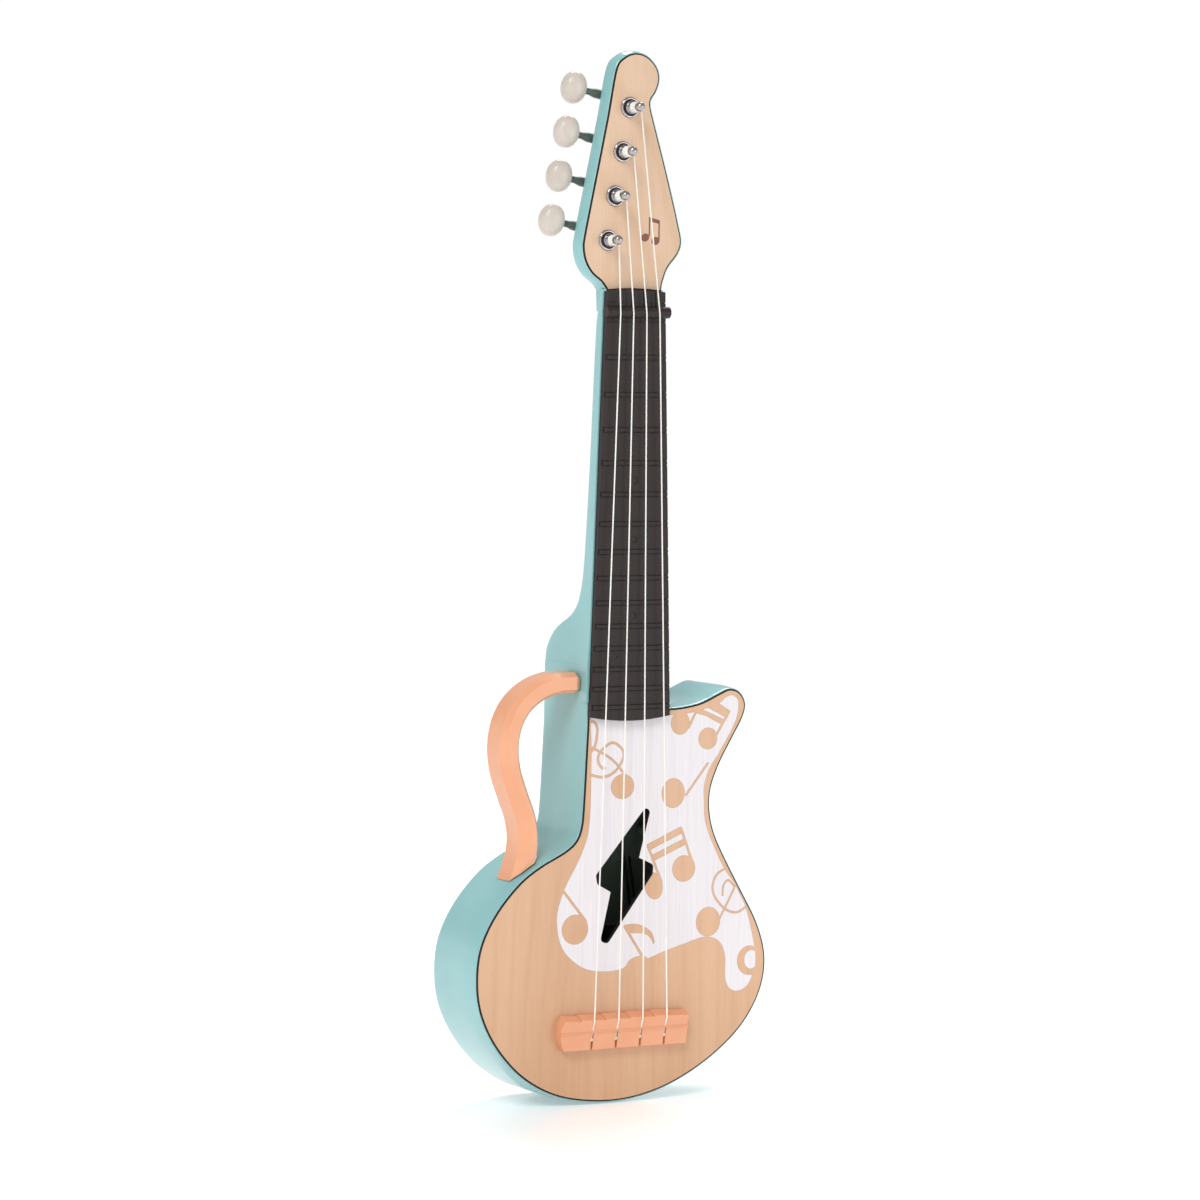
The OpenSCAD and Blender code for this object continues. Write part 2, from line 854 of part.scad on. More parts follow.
module speaker() {
  color([0.2, 0.2, 0.21])
    translate([spk_x, by - wall, spk_z])
      rotate([90, 0, 0])
        rotate_extrude()
          polygon([[0, 3.4], [6, 2.4], [20, 1.4], [24.4, 0.6], [25, 0.2], [26, 0.2], [26, 2],
            [23, 3], [14, 10], [14, 16.5], [0, 16.5]]);
}

module wiring() {
  color([0.7, 0.15, 0.12])
    for (k = [0:1]) {
      bar([bay_x + 4 * k, by - wall - 3, bay_z + 21.2], [pcb_x + 14 + 4 * k, 26.2, 150], 0.7);
      bar([spk_x + 12 + 3 * k, by - wall - 17.4, spk_z + 4], [pcb_x - 26 + 3 * k, 27.2, 150], 0.7);
    }
}

module power_switch() {
  color([0.25, 0.25, 0.27]) {
    translate([pcb_x - 28.7, 32.4, pcb_z - 4.2])
      cube([8, by - wall - 0.3 - 32.4, 8.4]);
    translate([pcb_x - 28.2, 32.4, pcb_z - 2.7])
      cube([7, by - 0.2 - 32.4, 5.4]);
  }
}

module push_button(x) {
  color([0.97, 0.73, 0.58]) {
    pin_y(pcb_x + x, pcb_z, 33.6, by - 0.1, 5.7);
    pin_y(pcb_x + x, pcb_z, 33.6, by - wall - 0.3, 7);
  }
}

module mode_button() {
  push_button(4);
}

module volume_button() {
  push_button(21);
}

back_shell();
soundboard();
headstock_veneer();
fretboard();
nut();
bridge();
string_1();
string_2();
string_3();
string_4();
carry_handle();
handle_screws();
post_bushings();
tuner_plate_1();
tuner_plate_2();
tuner_plate_3();
tuner_plate_4();
tuner_screws();
post_gear_1();
post_gear_2();
post_gear_3();
post_gear_4();
string_wrap_1();
string_wrap_2();
string_wrap_3();
string_wrap_4();
gear_screw_1();
gear_screw_2();
gear_screw_3();
gear_screw_4();
worm_shaft_1();
worm_shaft_2();
worm_shaft_3();
worm_shaft_4();
knob_1();
knob_2();
knob_3();
knob_4();
battery_tray();
battery_cells();
battery_contacts();
battery_door();
door_screw();
main_board();
board_screws();
led_board();
speaker();
wiring();
power_switch();
mode_button();
volume_button();
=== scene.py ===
import json
import math

import bmesh
import bpy
from mathutils import Matrix, Vector
from mathutils.geometry import delaunay_2d_cdt


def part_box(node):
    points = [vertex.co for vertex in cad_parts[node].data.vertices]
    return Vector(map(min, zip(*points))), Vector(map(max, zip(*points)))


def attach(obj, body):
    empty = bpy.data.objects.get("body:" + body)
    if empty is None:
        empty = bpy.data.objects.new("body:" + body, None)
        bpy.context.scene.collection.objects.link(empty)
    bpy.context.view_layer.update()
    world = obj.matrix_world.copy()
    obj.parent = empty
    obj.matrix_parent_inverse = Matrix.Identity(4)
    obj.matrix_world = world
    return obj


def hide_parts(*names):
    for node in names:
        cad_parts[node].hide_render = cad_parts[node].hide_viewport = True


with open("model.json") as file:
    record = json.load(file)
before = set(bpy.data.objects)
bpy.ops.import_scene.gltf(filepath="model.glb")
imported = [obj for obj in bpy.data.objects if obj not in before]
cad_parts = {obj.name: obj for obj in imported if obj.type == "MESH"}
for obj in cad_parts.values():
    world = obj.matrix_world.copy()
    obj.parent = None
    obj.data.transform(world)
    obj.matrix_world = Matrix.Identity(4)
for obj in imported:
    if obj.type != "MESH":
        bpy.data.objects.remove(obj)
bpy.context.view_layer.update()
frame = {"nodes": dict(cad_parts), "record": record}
MM = 0.001
BODY = "guitar_body"
nodes = frame["nodes"]

# ---------------------------------------------------------------- dimensions, in millimetres
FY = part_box("soundboard")[0].y / MM          # front plane of the wood
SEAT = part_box("soundboard")[1].y / MM        # back plane of the wood
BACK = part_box("back_shell")[1].y / MM        # flat back of the shell
AIR = FY - 9                                 # a plane well in front of the wood, where cuts begin
BOARD_TOP = 5.0                              # height of the fretboard over the wood
BOARD_CROWN = 320.0                          # radius of the fretboard's crown
BOARD_FOOT, BOARD_HEAD = 245.6, 512.5        # heights of the fretboard's two ends
FOOT_HALF, HEAD_HALF = 28.6, 20.8            # half widths of the fretboard at them
FRETS = 14
RIM_Y = FY + 0.8                             # front edge of the shell's rim
RIM_W = 2.2                                  # width of that rim
WALL = 2.6
HEAD_T = 9.5                                 # headstock's thickness behind the wood
HEAD_Y = SEAT + HEAD_T
BODY_TOP = 276.0                             # where the body's outline ends, behind the neck
HEAD_LOW = 502.0                             # where the headstock's outline begins
NECK_HALF = 27.9                             # half the gap that the neck leaves in the body's outline
HEAD_LOW_HALF = 18.4                         # half width of the headstock where it begins
SEAT_GAP = 0.25                              # play round a piece of wood in its seat
NUT_Z, SADDLE_Z = 496.0, 55.5                # heights of the strings' two ends
GAP_BRIDGE = 17.5                            # between two strings at the bridge


# ---------------------------------------------------------------- small helpers
def srgb(*levels):
    """A colour from three levels out of 255, as the linear values that shaders take."""
    shares = [level / 255 for level in levels]
    return tuple(c / 12.92 if c <= 0.04045 else ((c + 0.055) / 1.055) ** 2.4 for c in shares) + (1.0,)


def build(name, verts, faces, mats, body=BODY, face_mats=None, smooth=True, angle=35):
    """Makes a mesh object from points in millimetres, with sharp edges above the angle."""
    me = bpy.data.meshes.new(name)
    me.from_pydata([Vector(v) * MM for v in verts], [], faces)
    for m in mats:
        me.materials.append(m)
    if face_mats:
        me.polygons.foreach_set("material_index", face_mats)
    me.validate()
    me.update()
    ob = bpy.data.objects.new(name, me)
    bpy.context.scene.collection.objects.link(ob)
    if smooth:
        shade(me, angle)
    if body:
        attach(ob, body)
    return ob


def shade(me, angle):
    """Smooth shading, with sharp edges above the angle in degrees."""
    me.polygons.foreach_set("use_smooth", [True] * len(me.polygons))
    me.set_sharp_from_angle(angle=math.radians(angle))


def modifier(ob, kind, **values):
    """Adds a modifier with these settings."""
    m = ob.modifiers.new(kind.lower(), kind)
    for k, v in values.items():
        setattr(m, k, v)


def apply_all(ob):
    """Replaces the object's mesh by the result of its modifiers."""
    dg = bpy.context.evaluated_depsgraph_get()
    me = bpy.data.meshes.new_from_object(ob.evaluated_get(dg), preserve_all_data_layers=False, depsgraph=dg)
    ob.modifiers.clear()
    old = ob.data
    ob.data = me
    bpy.data.meshes.remove(old)


def paint(ob, *mats):
    """Gives the object these materials and no others."""
    ob.data.materials.clear()
    for m in mats:
        ob.data.materials.append(m)


def drop_normals(me):
    """Removes the normals that came with a mesh, so that its own shape sets them."""
    if "custom_normal" in me.attributes:
        me.attributes.remove(me.attributes["custom_normal"])


def soften(ob, width, segments, angle):
    """Rounds every edge sharper than the angle in degrees by a width in millimetres."""
    modifier(ob, "BEVEL", width=width * MM, segments=segments, limit_method="ANGLE",
             angle_limit=math.radians(angle), harden_normals=True, use_clamp_overlap=True)


def edit(me, merge=None, outward=False):
    """Merges points nearer than merge metres, and turns all faces outward."""
    bm = bmesh.new()
    bm.from_mesh(me)
    if merge:
        bmesh.ops.remove_doubles(bm, verts=bm.verts, dist=merge)
    if outward:
        bmesh.ops.recalc_face_normals(bm, faces=bm.faces)
    bm.to_mesh(me)
    bm.free()


def joined(solids):
    """One list of verts and one of faces for several (verts, faces) pairs."""
    verts, faces = [], []
    for v, f in solids:
        s = len(verts)
        verts += v
        faces += [tuple(s + i for i in q) for q in f]
    return verts, faces


def boolean(ob, other, operation):
    """Joins, cuts or intersects the object with the other one, which is used up."""
    modifier(ob, "BOOLEAN", object=other, operation=operation, solver="MANIFOLD")
    bpy.context.view_layer.update()
    apply_all(ob)
    bpy.data.objects.remove(other)


def plain(name, verts, faces):
    """A helper solid that is used up by a boolean and never shown."""
    me = bpy.data.meshes.new(name)
    me.from_pydata([Vector(v) * MM for v in verts], [], faces)
    me.update()
    edit(me, outward=True)
    ob = bpy.data.objects.new(name, me)
    bpy.context.scene.collection.objects.link(ob)
    return ob


def rings(loops, close_ends=True):
    """Verts and faces of a skin through closed loops with the same number of points."""
    n = len(loops[0])
    verts = [p for loop in loops for p in loop]
    faces = []
    for k in range(len(loops) - 1):
        for i in range(n):
            j = (i + 1) % n
            faces.append((k * n + i, k * n + j, (k + 1) * n + j, (k + 1) * n + i))
    if close_ends:
        faces.append(tuple(range(n - 1, -1, -1)))
        faces.append(tuple((len(loops) - 1) * n + i for i in range(n)))
    return verts, faces


def prism(loop, y0, y1):
    """A flat outline of (x, z) points, carried from depth y0 to y1."""
    return rings([[(x, y0, z) for x, z in loop], [(x, y1, z) for x, z in loop]])


def ellipse(cx, cz, rx, rz, n=40, turn=0.0):
    c, s = math.cos(turn), math.sin(turn)
    out = []
    for i in range(n):
        a = 2 * math.pi * i / n
        u, v = rx * math.cos(a), rz * math.sin(a)
        out.append((cx + u * c - v * s, cz + u * s + v * c))
    return out


def catmull(a, b, c, d, t):
    return [0.5 * (2 * b[k] + (c[k] - a[k]) * t + (2 * a[k] - 5 * b[k] + 4 * c[k] - d[k]) * t * t
                   + (3 * b[k] - a[k] - 3 * c[k] + d[k]) * t ** 3) for k in range(len(b))]


def smooth_line(p, n, closed=False):
    """n points a span through the points p."""
    out, m = [], len(p)
    for i in range(m if closed else m - 1):
        pick = (lambda k: p[k % m]) if closed else (lambda k: p[min(max(k, 0), m - 1)])
        for k in range(n):
            out.append(tuple(catmull(pick(i - 1), pick(i), pick(i + 1), pick(i + 2), k / n)))
    if not closed:
        out.append(tuple(p[-1]))
    return out


def corners_of(loop, limit=32):
    """The points where the closed loop turns by more than limit degrees."""
    m, out = len(loop), []
    for i in range(m):
        a, b, c = Vector(loop[i - 1]), Vector(loop[i]), Vector(loop[(i + 1) % m])
        if abs(math.degrees((b - a).angle_signed(c - b, 0))) > limit:
            out.append(i)
    return out


def clear(loop, reach):
    """The closed loop without the points that lie nearer than reach to one of its corners."""
    marks = corners_of(loop)
    return [p for i, p in enumerate(loop)
            if i in marks or all((Vector(p) - Vector(loop[k])).length > reach for k in marks)]


def refine(loop, n, corner=32):
    """A closed loop with n points a span, its corners kept."""
    m = len(loop)
    corners = corners_of(loop, corner)
    if not corners:
        return smooth_line(loop, n, True)
    out = []
    for a, b in zip(corners, corners[1:] + [corners[0] + m]):
        run = [loop[k % m] for k in range(a, b + 1)]
        out += smooth_line(run, n)[:-1]
    return out


def area(loop):
    """The area inside a closed loop, negative where it runs clockwise."""
    return 0.5 * sum(a[0] * b[1] - b[0] * a[1] for a, b in zip(loop, loop[1:] + loop[:1]))


def offset(loop, d):
    """The closed loop moved outward by d millimetres, each corner along its middle direction."""
    out, m = [], len(loop)
    for i in range(m):
        a, b, c = Vector(loop[i - 1]), Vector(loop[i]), Vector(loop[(i + 1) % m])
        u, v = (b - a).normalized(), (c - b).normalized()
        n1, n2 = Vector((u.y, -u.x)), Vector((v.y, -v.x))
        k = n1 + n2
        k = k / max(k.length_squared / 2, 0.5)
        out.append((b.x + k.x * d, b.y + k.y * d))
    return out


def stroke(points, width, n=6):
    """A closed outline round a line, with round ends."""
    pts = smooth_line(points, n) if len(points) > 2 else [tuple(p) for p in points]
    left, right = [], []
    for i, p in enumerate(pts):
        a, b = Vector(pts[max(i - 1, 0)]), Vector(pts[min(i + 1, len(pts) - 1)])
        t = (b - a).normalized()
        nrm = Vector((-t.y, t.x)) * width / 2
        left.append((p[0] + nrm.x, p[1] + nrm.y))
        right.append((p[0] - nrm.x, p[1] - nrm.y))
    return left + right[::-1]


def inside(p, loop):
    """Whether a point lies in a closed loop."""
    x, z = p
    hit = False
    for (x1, z1), (x2, z2) in zip(loop, loop[1:] + loop[:1]):
        if (z1 > z) != (z2 > z) and x < (x2 - x1) * (z - z1) / (z2 - z1) + x1:
            hit = not hit
    return hit


def loops_at(node, y):
    """The closed outlines of a node's flat face at depth y, outer one first, all counter-clockwise."""
    me = nodes[node].data
    key = lambda v: (round(v.co.x / MM, 3), round(v.co.z / MM, 3))
    uses = {}
    for f in me.polygons:
        vs = [me.vertices[i] for i in f.vertices]
        if all(abs(v.co.y / MM - y) < 0.01 for v in vs):
            ks = [key(v) for v in vs]
            for a, b in zip(ks, ks[1:] + ks[:1]):
                uses[(a, b)] = uses.get((a, b), 0) + 1
    nxt = {a: b for (a, b) in uses if (b, a) not in uses and a != b}
    out = []
    while nxt:
        a, b = nxt.popitem()
        loop = [a]
        while b in nxt:
            loop.append(b)
            b = nxt.pop(b)
        out.append(loop)
    out.sort(key=lambda lp: -abs(area(lp)))
    return [lp if area(lp) > 0 else lp[::-1] for lp in out]


# ---------------------------------------------------------------- materials
def material(name):
    m = bpy.data.materials.new(name)
    m.use_nodes = True
    nt = m.node_tree
    return m, nt, nt.nodes["Principled BSDF"]


def put(nt, kind, **values):
    """A new shader node with these inputs or settings."""
    n = nt.nodes.new(kind)
    for k, v in values.items():
        if k in n.inputs.keys():
            n.inputs[k].default_value = v
        else:
            setattr(n, k, v)
    return n


def coords(nt, scale, location=(0, 0, 0)):
    """Object coordinates, scaled and shifted."""
    tc = put(nt, "ShaderNodeTexCoord")
    mp = put(nt, "ShaderNodeMapping")
    mp.inputs["Scale"].default_value = scale
    mp.inputs["Location"].default_value = location
    nt.links.new(tc.outputs["Object"], mp.inputs["Vector"])
    return mp.outputs["Vector"]


def noise(nt, scale, vector=None, detail=4.0, rough=0.5, distortion=0.0):
    n = put(nt, "ShaderNodeTexNoise")
    n.inputs["Scale"].default_value = scale
    n.inputs["Detail"].default_value = detail
    n.inputs["Roughness"].default_value = rough
    n.inputs["Distortion"].default_value = distortion
    if vector is None:
        vector = coords(nt, (1, 1, 1))
    nt.links.new(vector, n.inputs["Vector"])
    return n.outputs["Fac"]


def ramp(nt, fac, stops):
    """A colour from a factor, through stops of (position, colour)."""
    r = put(nt, "ShaderNodeValToRGB")
    while len(r.color_ramp.elements) < len(stops):
        r.color_ramp.elements.new(0.5)
    for e, (at, col) in zip(r.color_ramp.elements, stops):
        e.position = at
        e.color = col if len(col) == 4 else tuple(col) + (1.0,)
    nt.links.new(fac, r.inputs["Fac"])
    return r.outputs["Color"]


def grey(v):
    return (v, v, v, 1.0)


def mix(nt, fac, a, b, mode="MIX"):
    n = put(nt, "ShaderNodeMix", data_type="RGBA", blend_type=mode)
    for socket, value in ((n.inputs[0], fac), (n.inputs[6], a), (n.inputs[7], b)):
        if isinstance(value, (float, int, tuple)):
            socket.default_value = value
        else:
            nt.links.new(value, socket)
    return n.outputs[2]


def math_node(nt, op, a, b=0.5):
    n = put(nt, "ShaderNodeMath", operation=op)
    for socket, value in ((n.inputs[0], a), (n.inputs[1], b)):
        if isinstance(value, (float, int)):
            socket.default_value = value
        else:
            nt.links.new(value, socket)
    return n.outputs[0]


def bump(nt, bsdf, height, strength, distance):
    b = put(nt, "ShaderNodeBump")
    b.inputs["Strength"].default_value = strength
    b.inputs["Distance"].default_value = distance
    nt.links.new(height, b.inputs["Height"])
    nt.links.new(b.outputs["Normal"], bsdf.inputs["Normal"])


def moulded(name, low, high, rough, spread=0.06, grain=0.05, coat=0.0, sss=0.0, scale=14.0, metallic=0.0,
            peel=180.0):
    """Moulded or painted surface: slow colour drift, uneven gloss and a faint skin texture."""
    m, nt, b = material(name)
    drift = noise(nt, scale, detail=3)
    nt.links.new(ramp(nt, drift, [(0.35, low), (0.65, high)]), b.inputs["Base Color"])
    gloss = noise(nt, 60.0, detail=5, rough=0.6)
    nt.links.new(ramp(nt, gloss, [(0.3, grey(max(rough - spread, 0.02))), (0.7, grey(rough + spread))]),
                 b.inputs["Roughness"])
    bump(nt, b, noise(nt, peel, detail=2), grain, 0.0004)
    b.inputs["Metallic"].default_value = metallic
    b.inputs["Coat Weight"].default_value = coat
    b.inputs["Coat Roughness"].default_value = 0.06
    if sss:
        b.inputs["Subsurface Weight"].default_value = sss
        b.inputs["Subsurface Scale"].default_value = 0.002
    return m


def wood(name):
    """Pale plywood: fine upright fibre, a slow figure, and dark cut edges with three layers."""
    m, nt, b = material(name)
    figure = noise(nt, 1.0, coords(nt, (26, 26, 3.2)), detail=3, rough=0.55, distortion=0.6)
    fibre = noise(nt, 1.0, coords(nt, (900, 900, 26)), detail=4, rough=0.6)
    pores = noise(nt, 1.0, coords(nt, (2600, 2600, 120)), detail=2)
    base = ramp(nt, figure, [(0.28, WOOD_DARK), (0.5, WOOD_MID), (0.74, WOOD_LIGHT)])
    base = mix(nt, 0.30, base, ramp(nt, fibre, [(0.3, WOOD_DARK), (0.7, WOOD_LIGHT)]))
    base = mix(nt, ramp(nt, pores, [(0.60, grey(0.0)), (0.75, grey(0.22))]), base, srgb(168, 124, 88))
    # painted light: the wood is painted warmer at the bottom and paler and cooler towards the top
    height = put(nt, "ShaderNodeSeparateXYZ")
    nt.links.new(coords(nt, (1, 1, 1.4)), height.inputs[0])
    painted_light_by_height = [(0.0, (1.0, 0.94, 0.91)), (0.12, (1.04, 1.02, 1.05)), (0.40, (1.04, 1.05, 1.12)),
             (0.80, (1.10, 1.24, 1.44))]
    base = mix(nt, 1.0, base, ramp(nt, height.outputs["Z"], painted_light_by_height), "MULTIPLY")
    # cathedral figure low on the body
    rings_at = coords(nt, (30, 30, 5.2), location=(0.9, 0, -0.05))
    wave = put(nt, "ShaderNodeTexWave", wave_type="RINGS", rings_direction="Y")
    wave.inputs["Scale"].default_value = 0.9
    wave.inputs["Distortion"].default_value = 2.2
    wave.inputs["Detail"].default_value = 3.0
    wave.inputs["Detail Scale"].default_value = 1.4
    nt.links.new(rings_at, wave.inputs["Vector"])
    base = mix(nt, ramp(nt, wave.outputs["Fac"], [(0.0, grey(0.0)), (0.75, grey(0.02)), (1.0, grey(0.16))]),
               base, srgb(182, 136, 98))
    # cut edges: browned, with the glue lines of three layers
    split = put(nt, "ShaderNodeSeparateXYZ")
    tc = put(nt, "ShaderNodeTexCoord")
    nt.links.new(tc.outputs["Normal"], split.inputs[0])
    side = math_node(nt, "ABSOLUTE", split.outputs["Y"])
    side = ramp(nt, side, [(0.90, grey(1.0)), (0.97, grey(0.0))])
    where = put(nt, "ShaderNodeSeparateXYZ")
    nt.links.new(tc.outputs["Object"], where.inputs[0])
    layer = math_node(nt, "FRACT", math_node(nt, "MULTIPLY", where.outputs["Y"], 1.0 / (1.0 * MM)))
    burnt = ramp(nt, layer, [(0.0, srgb(30, 22, 18)), (0.5, srgb(44, 33, 27)), (0.9, srgb(24, 18, 15))])
    base = mix(nt, side, base, burnt)
    nt.links.new(base, b.inputs["Base Color"])
    nt.links.new(ramp(nt, fibre, [(0.3, grey(0.36)), (0.7, grey(0.50))]), b.inputs["Roughness"])
    bump(nt, b, fibre, 0.10, 0.0003)
    b.inputs["Coat Weight"].default_value = 0.12
    b.inputs["Coat Roughness"].default_value = 0.25
    return m


def ink(name, low, high, rough=0.42):
    """Printed ink over the wood: the fibre still shows faintly."""
    m, nt, b = material(name)
    fibre = noise(nt, 1.0, coords(nt, (700, 700, 22)), detail=4, rough=0.6)
    figure = noise(nt, 1.0, coords(nt, (40, 40, 4)), detail=2)
    base = ramp(nt, fibre, [(0.3, low), (0.7, high)])
    base = mix(nt, ramp(nt, figure, [(0.4, grey(0.0)), (0.7, grey(0.35))]), base, low)
    nt.links.new(base, b.inputs["Base Color"])
    uneven = ramp(nt, fibre, [(0.3, grey(rough - 0.08)), (0.7, grey(rough + 0.08))])
    nt.links.new(uneven, b.inputs["Roughness"])
    bump(nt, b, fibre, 0.08, 0.0003)
    return m


def board_plastic(name):
    """Dark satin plastic with a faint lengthwise grain."""
    m, nt, b = material(name)
    streak = noise(nt, 1.0, coords(nt, (420, 420, 9)), detail=4, rough=0.65)
    spark = noise(nt, 1400.0, detail=2)
    base = ramp(nt, streak, [(0.3, srgb(33, 25, 25)), (0.7, srgb(46, 36, 35))])
    nt.links.new(base, b.inputs["Base Color"])
    nt.links.new(ramp(nt, streak, [(0.3, grey(0.40)), (0.7, grey(0.54))]), b.inputs["Roughness"])
    lines = math_node(nt, "MULTIPLY", streak, 0.8)
    grains = math_node(nt, "MULTIPLY", spark, 0.35)
    bump(nt, b, math_node(nt, "ADD", lines, grains), 0.25, 0.0003)
    b.inputs["Specular IOR Level"].default_value = 0.3
    return m


def metal(name, low, high, rough, spread=0.05, streaks=False):
    """Plated metal with uneven gloss, brushed where streaks is set."""
    m, nt, b = material(name)
    vec = coords(nt, (1500, 1500, 60)) if streaks else coords(nt, (160, 160, 160))
    n = noise(nt, 1.0, vec, detail=4, rough=0.6)
    nt.links.new(ramp(nt, n, [(0.3, low), (0.7, high)]), b.inputs["Base Color"])
    nt.links.new(ramp(nt, n, [(0.3, grey(max(rough - spread, 0.03))), (0.7, grey(rough + spread))]),
                 b.inputs["Roughness"])
    b.inputs["Metallic"].default_value = 1.0
    bump(nt, b, n, 0.03, 0.0002)
    return m


def pearl(name):
    """Cream plastic with a drifting pearl figure."""
    m, nt, b = material(name)
    swirl = noise(nt, 60.0, detail=3, rough=0.45, distortion=0.8)
    creams = [(0.3, srgb(194, 183, 172)), (0.5, srgb(198, 188, 178)), (0.72, srgb(203, 194, 184))]
    base = ramp(nt, swirl, creams)
    nt.links.new(base, b.inputs["Base Color"])
    nt.links.new(ramp(nt, swirl, [(0.3, grey(0.22)), (0.7, grey(0.32))]), b.inputs["Roughness"])
    b.inputs["Subsurface Weight"].default_value = 0.12
    b.inputs["Subsurface Scale"].default_value = 0.0015
    b.inputs["Specular IOR Level"].default_value = 0.3
    b.inputs["Coat Weight"].default_value = 0.12
    b.inputs["Coat Roughness"].default_value = 0.12
    bump(nt, b, noise(nt, 90.0, detail=1), 0.02, 0.0003)
    return m


WOOD_DARK, WOOD_MID, WOOD_LIGHT = srgb(193, 151, 114), srgb(201, 161, 125), srgb(208, 171, 137)

teal = moulded("teal gloss", srgb(130, 179, 181), srgb(138, 187, 188), 0.2, 0.03, 0.03, coat=0.35, sss=0.04)
# darker, greyer teal for the inside faces: painted shade of the dim hollow behind the sound hole; the matte
# gloss is the moulding's own
teal_shaded_inside = moulded("teal inside", srgb(106, 120, 108), srgb(116, 130, 118), 0.7, 0.08, 0.1)
plywood = wood("plywood")
white_ink = ink("white ink", srgb(214, 209, 212), srgb(226, 221, 224))
edge_ink = ink("edge ink", srgb(176, 142, 122), srgb(190, 156, 136))
brown_ink = ink("brown ink", srgb(112, 62, 46), srgb(132, 76, 58))
dark = board_plastic("dark plastic")
peach = moulded("peach gloss", srgb(220, 153, 114), srgb(225, 160, 121), 0.24, 0.015, 0.02, coat=0.2,
                sss=0.06, scale=30, peel=60)
nylon = moulded("nylon", srgb(232, 228, 220), srgb(240, 237, 231), 0.35, 0.05, 0.03, sss=0.2, scale=80)
chrome = metal("chrome", srgb(166, 160, 162), srgb(178, 172, 174), 0.1, 0.015)
steel = metal("plated steel", srgb(168, 170, 174), srgb(196, 198, 202), 0.3, 0.08, streaks=True)
spring = metal("spring steel", srgb(188, 188, 182), srgb(214, 214, 208), 0.22, 0.06)
shaft = moulded("grey shaft", srgb(74, 86, 79), srgb(92, 103, 95), 0.42, 0.08, 0.12, metallic=0.35, scale=120)
cream = pearl("cream pearl")
black = moulded("black plastic", srgb(34, 36, 37), srgb(44, 46, 47), 0.5, 0.08, 0.2)
cell_blue = moulded("cell sleeve", srgb(30, 78, 134), srgb(38, 92, 152), 0.28, 0.05, 0.04)
green = moulded("circuit board", srgb(104, 118, 106), srgb(114, 128, 116), 0.55, 0.1, 0.15, scale=240)
wire = moulded("wire sleeve", srgb(26, 26, 27), srgb(36, 36, 37), 0.4, 0.06, 0.05)

FINISH = {
    "teal_plastic": teal, "plywood": plywood, "dark_plastic": dark, "peach_plastic": peach, "nylon": nylon,
    "plated_steel": steel, "chrome": chrome, "grey_shaft": shaft, "cream_plastic": cream,
    "spring_steel": spring, "cell_sleeve": cell_blue, "black_plastic": black, "circuit_board": green,
    "wire_sleeve": wire,
}
BEVEL = {
    "fretboard": 0.22, "battery_door": 0.35, "power_switch": 0.3, "mode_button": 0.5, "volume_button": 0.5,
    "battery_tray": 0.3, "nut": 0.15,
}
for part in frame["record"]["subparts"]:
    ob = nodes[part["node"]]
    paint(ob, FINISH[part["material_slot"]])
    drop_normals(ob.data)
    ob.data.polygons.foreach_set("use_smooth", [True] * len(ob.data.polygons))
    modifier(ob, "WELD", merge_threshold=2e-6)
    soften(ob, BEVEL.get(part["node"], 0.08), 2, 32)

# near-black for the plates' borders and cut edges: the burnt laser-cut edge, and painted shade of the gap
# between the wood and the shell
burnt_edge_and_gap_shade = moulded("burnt_and_shaded edge", srgb(12, 11, 10), srgb(22, 19, 17), 0.75, 0.1, 0.3, scale=200)

# ---------------------------------------------------------------- outlines taken from the CAD model
wood_loops = loops_at("soundboard", FY)
wood_line = refine(wood_loops[0], 4)
bolt_line = wood_loops[1]
veneer_loops = loops_at("headstock_veneer", FY)
veneer_line = refine(veneer_loops[0], 4)
top_z = max(p[1] for p in wood_line)
shell_line = clear([(x, z if z < top_z - 0.01 else BODY_TOP) for x, z in wood_line
                    if z < top_z - 0.01 or abs(x) > NECK_HALF], 2.6)
low_z = min(p[1] for p in veneer_line)
lowest = [i for i, p in enumerate(veneer_line) if p[1] < low_z + 0.01]
first = max(lowest, key=lambda i: veneer_line[i][0])
head_line = [(-HEAD_LOW_HALF, HEAD_LOW), (HEAD_LOW_HALF, HEAD_LOW)]
head_line += [p for p in veneer_line[first:] + veneer_line[:first]
              if p[1] > low_z + 0.01 or abs(p[0]) > HEAD_LOW_HALF + 0.5]


# ---------------------------------------------------------------- flat faces with printed areas
def in_any(p, shapes):
    return any(inside(p, s) for s in shapes)


HOLE_BORDER, EDGE_DROP = 0.25, 0.22          # border round a hole, and how far a border falls off


